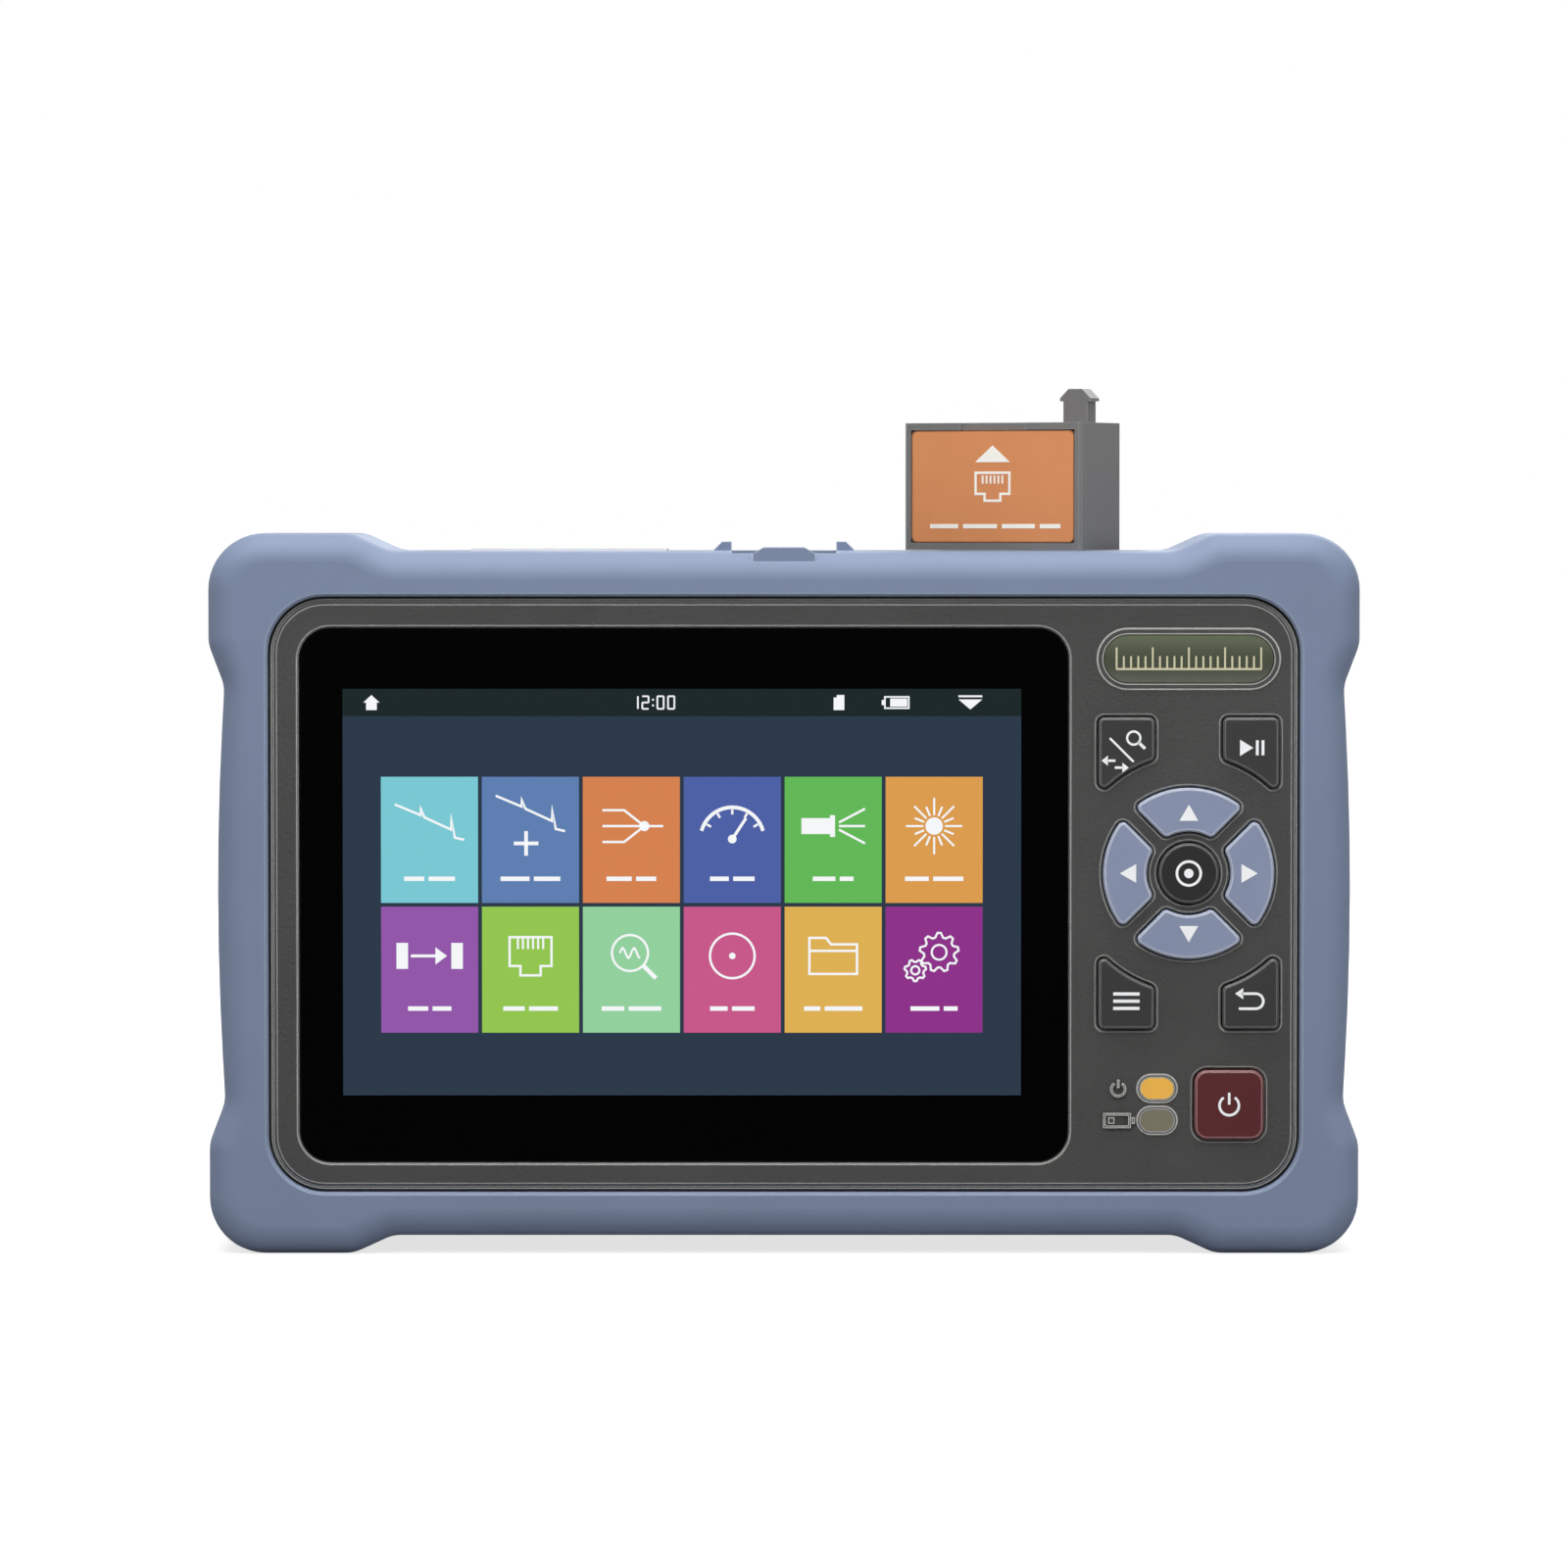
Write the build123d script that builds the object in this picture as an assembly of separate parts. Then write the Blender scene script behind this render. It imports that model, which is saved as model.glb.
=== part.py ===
"""Handheld optical time domain reflectometer in a two-piece rubber boot.

Millimetres. X runs to the right of the display, Y from the display to the back, Z up.
The instrument stands upright on its two lower boot corners, and the origin lies
under the middle of its outer box.
"""
from build123d import *
import math
import os

os.makedirs("parts", exist_ok=True)

# Display: a five-inch 5:3 panel behind one touch glass
active_w = 108.0
active_h = 64.8
glass_border_left = 6.95
glass_border_right = 7.55
glass_border_top = 9.7
glass_border_bottom = 10.7
glass_t = 1.3
glass_r = 5.0
glass_edge = 0.2
panel_border = 4.2
panel_t = 3.2
tray_t = 0.8

# Front field that carries the glass and the keys
margin_left = 4.0
margin_right = 2.45
margin_top = 4.1
margin_bottom = 3.8
key_column_gap = 4.75
badge_margin = 4.2
badge_gap = 4.45
power_gap = 6.6
power_margin = 7.55
field_r = 8.1
field_edge = 0.4
ledge_w = 0.45
ledge_drop = 0.5
opening_edge = 0.25
window_margin = 1.0

# Keys
key_w = 8.9
key_side_offset = 9.9
key_near = 13.1
key_far = 24.8
key_cut_r = 18.9
key_corner_r = 0.9
arrow_outer_r = 13.6
arrow_inner_r = 6.7
arrow_gap = 2.8
ok_r = 4.8
power_w = 11.0
power_r = 2.0
power_offset = 6.5
key_proud = 1.1
key_edge = 0.3
key_travel = 0.8
key_gap = 0.25
key_flange = 0.8
key_flange_t = 1.0
pusher_h = 0.9
pusher_w = 3.6
mat_t = 1.0
key_board_t = 1.2

# Lamps and name plate
led_w = 5.2
led_h = 3.3
led_offset = 4.95
led_pitch = 5.1
led_rim = 0.5
led_pipe_w = 3.6
led_pipe_h = 1.9
lamp_w = 2.0
lamp_h = 1.25
badge_w = 29.1
badge_h = 9.7
badge_rim = 0.9
badge_t = 0.8
rim_proud = 0.25

# Housing and boot
groove = 0.95
lip = 3.6
rubber_t = 3.55
lobe_side = 2.5
lobe_top = 2.85
lobe_run_top = 23.1
lobe_run_side = 17.7
lobe_slope_top = 6.2
lobe_slope_side = 6.6
lobe_corner_r = 9.0
boot_edge_r = 4.5
boot_lip_edge = 0.4
boot_slope_r = 6.0
waist_bow = 0.9
face_t = 2.6
field_drop = 1.3
wall_t = 2.0
side_wall_t = 2.4
gasket_t = 0.8
rear_band = 12.0
channel_r = 4.0
channel_inset = 4.0
seam_gap = 0.5

# Inside, from front to back
board_gap = 3.0
board_t = 1.6
engine_w = 84.0
engine_h = 46.0
engine_t = 12.0
battery_w = 68.0
battery_h = 40.0
battery_t = 12.5
battery_r = 3.0
engine_gap = 4.0
engine_edge = 0.8
back_floor_t = 2.0
boss_r = 3.6
boss_inset = 0.9
post_r = 2.2
screw_r = 1.25
screw_head_r = 2.4
screw_head_t = 1.4

# Screw lengths under the head, and the depths of their holes
case_screw_l = 11.5
board_screw_l = 5.1
key_screw_l = 3.7
display_screw_l = 3.0
door_screw_l = 3.2
board_hole = 4.0
tray_hole = 2.5
key_hole = 3.0
door_hole = 2.6
case_seat = 6.0

# Folding stand and battery door on the back
stand_leg = 10.0
stand_t = 3.0
stand_top = 24.0
stand_pin_r = 1.0
stand_corner_r = 6.0
stand_gap = 0.4
stand_side_gap = 4.0
stand_foot_gap = 2.0
scoop_w = 26.0
scoop_h = 9.0
door_over_w = 4.0
door_over_h = 3.0
door_drop = 2.0
door_t = 2.0
door_r = 3.0
grip_count = 5
grip_w = 30.0
grip_h = 1.2
grip_pitch = 3.2
grip_t = 0.5
small_head_t = 0.8
buzzer_r = 4.5
buzzer_h = 3.5
buzzer_inset = 21.0
sound_r = 0.7
sound_pitch = 2.4

# Hinged covers over the sockets
cover_t = 1.2
cover_barrel_r = 1.3
cover_pin_r = 0.7
cover_ear = 1.8
cover_low = 2.65
ear_gap = 0.2
fibre_cover_w = 31.5
fibre_cover_top = 3.9
lan_cover_w = 20.0
side_cover_w = 40.0

# Room that the covers' ears and the bay need beside the rounded ends of the top channel
ear_corner_gap = 2.08
bay_corner_gap = 1.15

# Gaps along the top channel, from left to right, which share out what its pieces leave free
end_gap = 4.12
cover_gap = 4.5
bay_gap = 7.55
bay_end_gap = 2.6

# Sockets
adapter_pitch = 10.2
adapter_r = 4.0
adapter_depth = 11.0
ferrule_r = 1.25
adapter_flange_r = 4.6
adapter_flange_t = 1.2
port_plate_t = 1.5
port_plate_over = 2.0
well_gap = 0.5
jack_w = 16.0
jack_d = 13.4
jack_h = 15.0
plug_w = 11.8
plug_d = 6.9
plug_h = 12.0
latch_d = 3.0
usb_w = 9.0
usb_d = 3.3
usb_h = 7.4
card_w = 25.0
card_d = 2.4
card_h = 21.0
side_socket_gap = 2.6

# Plug-in far-end unit for cable tests, stood askew across its empty bay
remote_w = 31.3
remote_d = 15.6
remote_h = 20.5
remote_turn = -26.5
remote_wall = 1.2
remote_frame = 1.1
label_t = 0.6
post_w = 4.2
post_d = 3.4
post_h = 3.5
post_head_h = 2.0
post_head_over = 0.6
post_x = 10.6
post_y = 2.8
bay_slack = 0.3
bay_wall = 1.2
bay_collar = 0.6
bay_r = 1.5

# Raised details on the boot's top rail
nub_w = 3.0
nub_h = 1.5
nub_x = 9.9
hump_w = 6.5
hump_slope = 1.75
hump_h = 1.0
hump_set = 1.0
rail_dip = 0.4

# Fits
fit = 0.1
pin_fit = 0.05
loose = 0.3

# Front layout, measured from the middle of the field
glass_w = active_w + glass_border_left + glass_border_right
glass_h = active_h + glass_border_top + glass_border_bottom
keypad_w = 2 * key_side_offset + key_w
column_h = badge_margin + badge_h + badge_gap + 2 * key_far + power_gap + power_w + power_margin
field_w = margin_left + glass_w + key_column_gap + keypad_w + margin_right
field_h = max(glass_h + margin_top + margin_bottom, column_h)
glass_x = -field_w / 2 + margin_left + glass_w / 2
glass_v = (margin_bottom - margin_top) / 2
active_x = glass_x + (glass_border_left - glass_border_right) / 2
active_v = glass_v + (glass_border_bottom - glass_border_top) / 2
column_x = field_w / 2 - margin_right - keypad_w / 2
badge_v = field_h / 2 - badge_margin - badge_h / 2
pad_v = badge_v - badge_h / 2 - badge_gap - key_far
power_v = pad_v - key_far - power_gap - power_w / 2
power_x = column_x + power_offset

# Outer sizes, from the field outwards
opening_w = field_w + 2 * groove
opening_h = field_h + 2 * groove
opening_r = field_r + groove
case_w = opening_w + 2 * lip
case_h = opening_h + 2 * lip
case_r = opening_r + lip
band_w = case_w + 2 * rubber_t
band_h = case_h + 2 * rubber_t
overall_w = band_w + 2 * lobe_side
overall_h = band_h + 2 * lobe_top
mid_z = overall_h / 2
case_top = mid_z + case_h / 2
rail_top = mid_z + band_h / 2
inner_w = case_w - 2 * side_wall_t
inner_h = case_h - 2 * side_wall_t
inner_r = case_r - side_wall_t

# Depths, from the front plane backwards
from_rim = face_t + fit
from_inner = from_rim + wall_t
from_pusher = from_inner + fit + key_flange_t + key_travel + fit
from_mat = from_pusher + pusher_h
from_key_board = from_mat + mat_t
from_tray = from_inner + fit + panel_t + fit
from_board = max(from_tray + tray_t, from_key_board + key_board_t) + board_gap
from_engine = from_board + board_t + fit
from_battery = from_engine + engine_t + loose
from_back_inner = from_battery + battery_t + loose
from_back = from_back_inner + back_floor_t + stand_t + 2 * fit
depth = from_back + field_drop - fit

front_y = -depth / 2
back_y = depth / 2
field_y = front_y + field_drop
rim_y = front_y + from_rim
inner_y = front_y + from_inner
pusher_y = front_y + from_pusher
mat_y = front_y + from_mat
key_board_y = front_y + from_key_board
tray_y = front_y + from_tray
board_y = front_y + from_board
board_back_y = board_y + board_t
engine_y = front_y + from_engine
battery_y = front_y + from_battery
back_inner_y = front_y + from_back_inner
back_face_y = front_y + from_back
rear_rim_y = back_y - from_rim
split_y = board_y - gasket_t + 0.2
rear_split_y = split_y + gasket_t
channel_front = rear_split_y + loose
channel_back = back_y - rear_band
channel_mid = (channel_front + channel_back) / 2
channel_d = channel_back - channel_front
glass_y = field_y + fit
key_flange_y = inner_y + fit
top_half = overall_w / 2 - lobe_run_top - lobe_slope_top
side_half = overall_h / 2 - lobe_run_side - lobe_slope_side
tray_w = active_w + 2 * panel_border + 2 * (fit + tray_t)
tray_h = active_h + 2 * panel_border + 2 * (fit + tray_t)
key_board_w = keypad_w + 2 * key_flange + 2 * fit
key_board_top = pad_v + key_far + key_flange
key_board_bottom = power_v - power_w / 2 - key_flange
boss_x = inner_w / 2 - boss_r - boss_inset
boss_v = inner_h / 2 - boss_r - boss_inset
post_left = (active_x - tray_w / 2 - inner_w / 2) / 2
post_right = (active_x + tray_w / 2 + column_x - key_board_w / 2) / 2
post_v = active_h * 0.38

# Places along the top channel
channel_half = top_half - channel_inset
fibre_span = fibre_cover_w + 2 * (ear_gap + cover_ear)
lan_span = lan_cover_w + 2 * (ear_gap + cover_ear)
bay_in_w = remote_w + 2 * bay_slack
bay_w = bay_in_w + 2 * bay_wall
bay_span = bay_w + 2 * bay_collar
row_left = ear_corner_gap - channel_half
row_right = channel_half - bay_corner_gap
spare = row_right - row_left - fibre_span - lan_span - bay_span
gap_share = spare / (end_gap + cover_gap + bay_gap + bay_end_gap)
fibre_cover_x = row_left + gap_share * end_gap + fibre_span / 2
lan_cover_x = fibre_cover_x + fibre_span / 2 + gap_share * cover_gap + lan_span / 2
remote_x = row_right - gap_share * bay_end_gap - bay_span / 2


def slab(sketch, y_low, y_high):
    """Flat outline, x across and v up from the middle of the face, made solid between two depths."""
    plane = Plane((0, y_high, mid_z), x_dir=(1, 0, 0), z_dir=(0, -1, 0))
    return extrude(plane * sketch, amount=y_high - y_low, dir=(0, -1, 0))


def tower(sketch, z_low, z_high):
    """Plan outline, x and y, made solid between two heights."""
    return extrude(Plane.XY.offset(z_low) * sketch, amount=z_high - z_low, dir=(0, 0, 1))


def block(x_low, x_high, y_low, y_high, z_low, z_high):
    """Plain block between two corners."""
    size = (x_high - x_low, y_high - y_low, z_high - z_low)
    middle = ((x_low + x_high) / 2, (y_low + y_high) / 2, (z_low + z_high) / 2)
    return Pos(*middle) * Box(*size)


def at(x, v, sketch):
    """Sketch moved to a place on the face."""
    return Pos(x, v) * sketch


def spots(places, sketch):
    """The same sketch at several places."""
    return Sketch() + [Pos(x, v) * sketch for x, v in places]


def four(x, v):
    """The four mirrored places of one point about the middle."""
    return [(sx * x, sv * v) for sx in (-1, 1) for sv in (-1, 1)]


def save(name, shape):
    """One piece written to its own file under its own name."""
    shape.label = name
    export_step(shape, f"parts/{name}.step")


def face_at(shape, y):
    """Widest flat face in the plane at y."""
    level = [f for f in shape.faces().filter_by(Axis.Y) if abs(f.center().Y - y) < 1e-4]
    return max(level, key=lambda f: f.bounding_box().size.X)


def outer_edges(shape, y):
    """Edges round the outside of the widest face at y."""
    return face_at(shape, y).outer_wire().edges()


def hole_edges(shape, y):
    """Edges round the holes of the widest face at y."""
    return ShapeList([edge for wire in face_at(shape, y).inner_wires() for edge in wire.edges()])


# Rubber boot

def boot_outline():
    """Boot seen from the front: a waisted band with a lobe at each corner."""
    top = overall_h / 2
    rail = band_h / 2
    side = overall_w / 2
    waist = band_w / 2
    quarter = [
        (top_half, rail, boot_slope_r),
        (top_half + lobe_slope_top, top, boot_slope_r),
        (side, top, lobe_corner_r),
        (side, side_half + lobe_slope_side, boot_slope_r),
        (waist, side_half, boot_slope_r),
    ]
    bow_r = 0.8 * side_half / math.tan(math.atan(2 * waist_bow / side_half))
    right = quarter + [(waist + 2 * waist_bow, 0, bow_r)] + [(x, -v, r) for x, v, r in reversed(quarter)]
    ring = right + [(-x, v, r) for x, v, r in reversed(right)]
    line = FilletPolyline(*[(x, v) for x, v, r in ring], radius=[r for x, v, r in ring], close=True)
    return make_face(line)


def channel():
    """Space left open by the boot all round its middle, between the four corner lobes."""
    over = overall_w
    across = RectangleRounded(2 * channel_half, channel_d, channel_r)
    upright = tower(Pos(0, channel_mid) * across, -over, over)
    side_plane = Plane((-over, channel_mid, mid_z), x_dir=(0, 1, 0), z_dir=(1, 0, 0))
    along = RectangleRounded(channel_d, 2 * (side_half - channel_inset), channel_r)
    return upright + extrude(side_plane * along, amount=2 * over)


def boot_half(outer_y, seam_y, rim):
    """One boot half: an L-section ring that wraps the housing's edge and closes at the seam."""
    low, high = sorted((outer_y, seam_y))
    body = slab(boot_outline(), low, high)
    body = fillet(outer_edges(body, outer_y), boot_edge_r)
    nest = RectangleRounded(case_w + 2 * fit, case_h + 2 * fit, case_r + fit)
    body -= slab(nest, *sorted((rim, seam_y)))
    body -= slab(RectangleRounded(opening_w, opening_h, opening_r), low, high)
    body = chamfer(hole_edges(body, outer_y), boot_lip_edge)
    return body - channel()


def rail_details():
    """Thumb hump in the middle of the top rail and the two small nubs beside it."""
    rail = band_h / 2
    half = hump_w / 2
    foot = half + hump_slope
    low = rail - rubber_t + 2 * fit
    hump = Polygon(
        (-foot, low), (foot, low), (foot, rail - rail_dip), (half, rail - rail_dip + hump_h),
        (-half, rail - rail_dip + hump_h), (-foot, rail - rail_dip), align=None,
    )
    pieces = slab(hump, front_y + hump_set, channel_front)
    for side in (-1, 1):
        inner = side * (nub_x - nub_w / 2)
        outer = side * (nub_x + nub_w / 2)
        slope = side * (nub_x + nub_w / 2 - nub_h)
        nub = Polygon(
            (inner, low), (outer, low), (outer, rail), (slope, rail + nub_h), (inner, rail + nub_h), align=None,
        )
        pieces += slab(nub, channel_front - 2 * nub_w, channel_front)
    return pieces


front_boot = boot_half(front_y, channel_mid - seam_gap / 2, rim_y - fit)
dip_half = nub_x - nub_w / 2
dip = Rectangle(2 * dip_half, 2 * rail_dip)
front_boot -= slab(at(0, band_h / 2, dip), front_y, channel_front)
front_boot += rail_details()
rear_boot = boot_half(back_y, channel_mid + seam_gap / 2, rear_rim_y + fit)
save("front_bumper", front_boot)
save("rear_bumper", rear_boot)


# Small screws, used for all but the housing
small_r = screw_r * 0.8
small_head_r = small_r * 1.8


# Key outlines, used for the keys and for the holes they work in

def grown(sketch, by):
    """Outline moved outwards by a clearance."""
    return offset(sketch, amount=by, kind=Kind.ARC) if by else sketch


def eased(sketch, radius):
    """Outline with its corners rounded, by moving it in and out again."""
    return grown(offset(sketch, amount=-radius, kind=Kind.INTERSECTION), radius) if radius else sketch


def corner_key(side, up):
    """Corner key: a rectangle hollowed by a circle about the arrow pad."""
    key_h = key_far - key_near
    plate = at(column_x + side * key_side_offset, pad_v + up * (key_near + key_h / 2), Rectangle(key_w, key_h))
    return plate - at(column_x, pad_v, Circle(key_cut_r))


def arrow_key(angle):
    """Arrow key: one quarter of a ring, with straight sides along the diagonals."""
    ring = Circle(arrow_outer_r) - Circle(arrow_inner_r)
    reach = 2 * arrow_outer_r
    wedge = Polygon((0, 0), (reach, -reach), (reach, reach), align=None)
    shape = ring & (Pos(arrow_gap / math.sqrt(2), 0) * wedge)
    return at(column_x, pad_v, Rot(0, 0, angle) * shape)


ring_flange = (arrow_inner_r - ok_r) / 2 - fit
key_plans = {
    "key_zoom": (corner_key(-1, 1), key_corner_r, key_flange),
    "key_play": (corner_key(1, 1), key_corner_r, key_flange),
    "key_set": (corner_key(-1, -1), key_corner_r, key_flange),
    "key_esc": (corner_key(1, -1), key_corner_r, key_flange),
    "key_right": (arrow_key(0), key_corner_r, ring_flange),
    "key_up": (arrow_key(90), key_corner_r, ring_flange),
    "key_left": (arrow_key(180), key_corner_r, ring_flange),
    "key_down": (arrow_key(270), key_corner_r, ring_flange),
    "key_ok": (at(column_x, pad_v, Circle(ok_r)), 0, ring_flange),
    "key_power": (at(power_x, power_v, Rectangle(power_w, power_w)), power_r, key_flange),
}
keys = {name: eased(sharp, radius) for name, (sharp, radius, flange) in key_plans.items()}

led_spots = {
    "led_on_lens": (column_x - led_offset, power_v + led_pitch / 2),
    "led_charge_lens": (column_x - led_offset, power_v - led_pitch / 2),
}


def key_body(name):
    """Key cap with broken front edges, and the square-cornered flange that keeps it behind the housing."""
    sharp, radius, reach = key_plans[name]
    cap = slab(keys[name], field_y - key_proud, key_flange_y)
    cap = chamfer(outer_edges(cap, field_y - key_proud), key_edge)
    flange = offset(sharp, amount=reach, kind=Kind.INTERSECTION)
    return cap + slab(flange, key_flange_y, key_flange_y + key_flange_t)


for key_name in keys:
    save(key_name, key_body(key_name))


# Front housing

case_bosses = four(boss_x, boss_v)
board_posts = [(x, sv * post_v) for x in (post_left, post_right) for sv in (-1, 1)]
tray_ear_v = tray_h / 2 + post_r
tray_posts = [(active_x + sx * active_w * 0.37, active_v + sv * tray_ear_v) for sx in (-1, 1) for sv in (-1, 1)]
key_post_v = (pad_v - key_far + power_v + power_w / 2) / 2
key_posts = [(column_x + key_side_offset, key_post_v), (column_x, pad_v + key_far - post_r)]


def drilled(places, radius, y_low, y_high):
    """Round holes or pillars at several places between two depths."""
    return slab(spots(places, Circle(radius)), y_low, y_high)


def face_openings(body):
    """Body cut for the glass, the display window and the keys."""
    seat = RectangleRounded(glass_w + 2 * fit, glass_h + 2 * fit, glass_r + fit)
    body -= slab(at(glass_x, glass_v, seat), field_y, glass_y + glass_t)
    window = Rectangle(active_w + 2 * window_margin, active_h + 2 * window_margin)
    body -= slab(at(active_x, active_v, window), field_y, inner_y)
    for outline in keys.values():
        body -= slab(grown(outline, key_gap), field_y, inner_y)
    return body


def badge_outline(clear):
    """Slot-shaped plate inside its rim, smaller by a clearance."""
    inset = badge_rim + clear
    return SlotOverall(badge_w - 2 * inset, badge_h - 2 * inset)


def front_housing():
    """Front shell: rim under the boot, ledge, raised field with its openings, rims of lamps and name plate."""
    shell = slab(RectangleRounded(case_w, case_h, case_r), rim_y, split_y)
    shell -= slab(RectangleRounded(inner_w, inner_h, inner_r), inner_y, split_y)
    field = RectangleRounded(field_w, field_h, field_r)
    raised = slab(field, field_y, rim_y)
    raised = face_openings(chamfer(outer_edges(raised, field_y), field_edge))
    raised = chamfer(hole_edges(raised, field_y), opening_edge)
    ledge = RectangleRounded(field_w + 2 * ledge_w, field_h + 2 * ledge_w, field_r + ledge_w) - field
    shell = face_openings(shell) + raised + slab(ledge, field_y + ledge_drop, rim_y)
    proud_y = field_y - rim_proud
    led_rims = SlotOverall(led_w + 2 * fit + 2 * led_rim, led_h + 2 * fit + 2 * led_rim)
    shell += slab(spots(led_spots.values(), led_rims), proud_y, field_y)
    shell += slab(at(column_x, badge_v, SlotOverall(badge_w, badge_h)), proud_y, field_y)
    led_hole = spots(led_spots.values(), SlotOverall(led_w + 2 * fit, led_h + 2 * fit))
    shell -= slab(led_hole, proud_y, inner_y)
    shell -= slab(at(column_x, badge_v, badge_outline(0)), proud_y, field_y + badge_t)
    shell += drilled(case_bosses, boss_r, inner_y, split_y)
    shell += drilled(board_posts, post_r, inner_y, board_y)
    shell += drilled(tray_posts, post_r, inner_y, tray_y)
    shell += drilled(key_posts, post_r * 0.8, inner_y, key_board_y)
    shell -= drilled(case_bosses, screw_r + fit, inner_y + wall_t, split_y)
    shell -= drilled(board_posts, small_r + fit, board_y - board_hole, board_y)
    shell -= drilled(tray_posts, small_r + fit, tray_y - tray_hole, tray_y)
    shell -= drilled(key_posts, small_r + fit, key_board_y - key_hole, key_board_y)
    return shell


save("front_case", front_housing())

gasket = RectangleRounded(case_w, case_h, case_r) - RectangleRounded(inner_w, inner_h, inner_r)
save("case_gasket", slab(gasket, split_y, rear_split_y))

glass = slab(at(glass_x, glass_v, RectangleRounded(glass_w, glass_h, glass_r)), glass_y, glass_y + glass_t)
save("touch_glass", chamfer(outer_edges(glass, glass_y), glass_edge))

badge_y = field_y - rim_proud / 2
badge = slab(at(column_x, badge_v, badge_outline(fit)), badge_y, field_y + badge_t)
save("badge_plate", chamfer(outer_edges(badge, badge_y), rim_proud / 2))

for led_name, spot in led_spots.items():
    stem = slab(at(*spot, SlotOverall(led_w, led_h)), field_y - rim_proud, inner_y + key_flange_t)
    pipe = slab(at(*spot, Rectangle(led_pipe_w, led_pipe_h)), inner_y + key_flange_t, mat_y)
    save(led_name, stem + pipe)


# Display module

panel = Rectangle(active_w + 2 * panel_border, active_h + 2 * panel_border)
save("lcd_panel", slab(at(active_x, active_v, panel), inner_y + fit, inner_y + fit + panel_t))


def display_tray():
    """Folded steel tray that clamps the panel, with four screw ears."""
    plate = slab(at(active_x, active_v, Rectangle(tray_w, tray_h)), inner_y + loose, tray_y + tray_t)
    inside = Rectangle(tray_w - 2 * tray_t, tray_h - 2 * tray_t)
    plate -= slab(at(active_x, active_v, inside), inner_y, tray_y)
    for x, v in tray_posts:
        ear = Rectangle(2 * post_r, 4 * post_r)
        inward = -post_r if v > active_v else post_r
        plate += slab(at(x, v + inward, ear), tray_y, tray_y + tray_t)
    return plate - drilled(tray_posts, small_r + fit, tray_y, tray_y + tray_t)


save("display_tray", display_tray())


def pan_screws(places, radius, head_r, head_t, head_y, length):
    """Pan-head screws that run forwards from the plane their heads sit on."""
    group = drilled(places, head_r, head_y, head_y + head_t)
    group += drilled(places, radius, head_y - length, head_y)
    return group


tray_back_y = tray_y + tray_t
save("display_screws", pan_screws(tray_posts, small_r, small_head_r, small_head_t, tray_back_y, display_screw_l))


# Keypad mat and key board

def mat_outline(inset):
    """Keypad outline behind the keys."""
    height = key_board_top - key_board_bottom
    middle = (key_board_top + key_board_bottom) / 2
    return at(column_x, middle, RectangleRounded(key_board_w - 2 * inset, height - 2 * inset, 1.5))


def key_mat():
    """Silicone mat with a square pusher behind every key and holes for the lamps and posts."""
    mat = slab(mat_outline(0.3), mat_y, key_board_y)
    middles = [(outline.center().X, outline.center().Y) for outline in keys.values()]
    mat += slab(spots(middles, Rectangle(pusher_w, pusher_w)), pusher_y, mat_y)
    mat -= slab(spots(key_posts, Circle(post_r * 0.8 + loose)), pusher_y, key_board_y)
    return mat - slab(spots(led_spots.values(), Rectangle(led_w, led_h)), pusher_y, key_board_y)


save("key_mat", key_mat())

key_board = slab(mat_outline(0), key_board_y, key_board_y + key_board_t)
save("key_board", key_board - drilled(key_posts, small_r + fit, key_board_y, key_board_y + key_board_t))
key_screw_y = key_board_y + key_board_t
save("key_board_screws", pan_screws(key_posts, small_r, small_head_r, small_head_t, key_screw_y, key_screw_l))

for led_name, spot in led_spots.items():
    lamp = slab(at(*spot, Rectangle(lamp_w, lamp_h)), mat_y + fit, key_board_y)
    save(led_name.replace("_lens", "_lamp"), lamp)


# Bay for the far-end unit

bay_in_d = remote_d + 2 * bay_slack
bay_d = bay_in_d + 2 * bay_wall
bay_rim = rail_top - fit
bay_floor = bay_rim - remote_h
bay_bottom = bay_floor - bay_wall


def remote_bay():
    """Open tub with a collar on the housing, and a slot in its floor for the unit's latch post."""
    centre = Pos(remote_x, channel_mid)
    tub = tower(centre * RectangleRounded(bay_w, bay_d, bay_r), bay_bottom, bay_rim)
    collar_d = min(bay_d + 2 * bay_collar, channel_d - 2 * fit)
    collar = RectangleRounded(bay_span, collar_d, bay_r + bay_collar / 2)
    tub += tower(centre * collar, case_top + fit / 2, bay_rim)
    tub -= tower(centre * RectangleRounded(bay_in_w, bay_in_d, 0.5), bay_floor, bay_rim)
    slot = Rectangle(post_w + 2 * post_head_over + 1, post_d + 1)
    return tub - tower(Pos(remote_x - post_x, channel_mid + post_y) * slot, bay_bottom, bay_floor)


save("remote_bay", remote_bay())


# Hinged covers, drawn with the hinge line along x through the origin and the cover towards -y

hinge_lift = cover_barrel_r + 0.2
hinge_y = channel_back - cover_barrel_r - 0.5
cover_len = hinge_y - channel_front - 0.5


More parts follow.
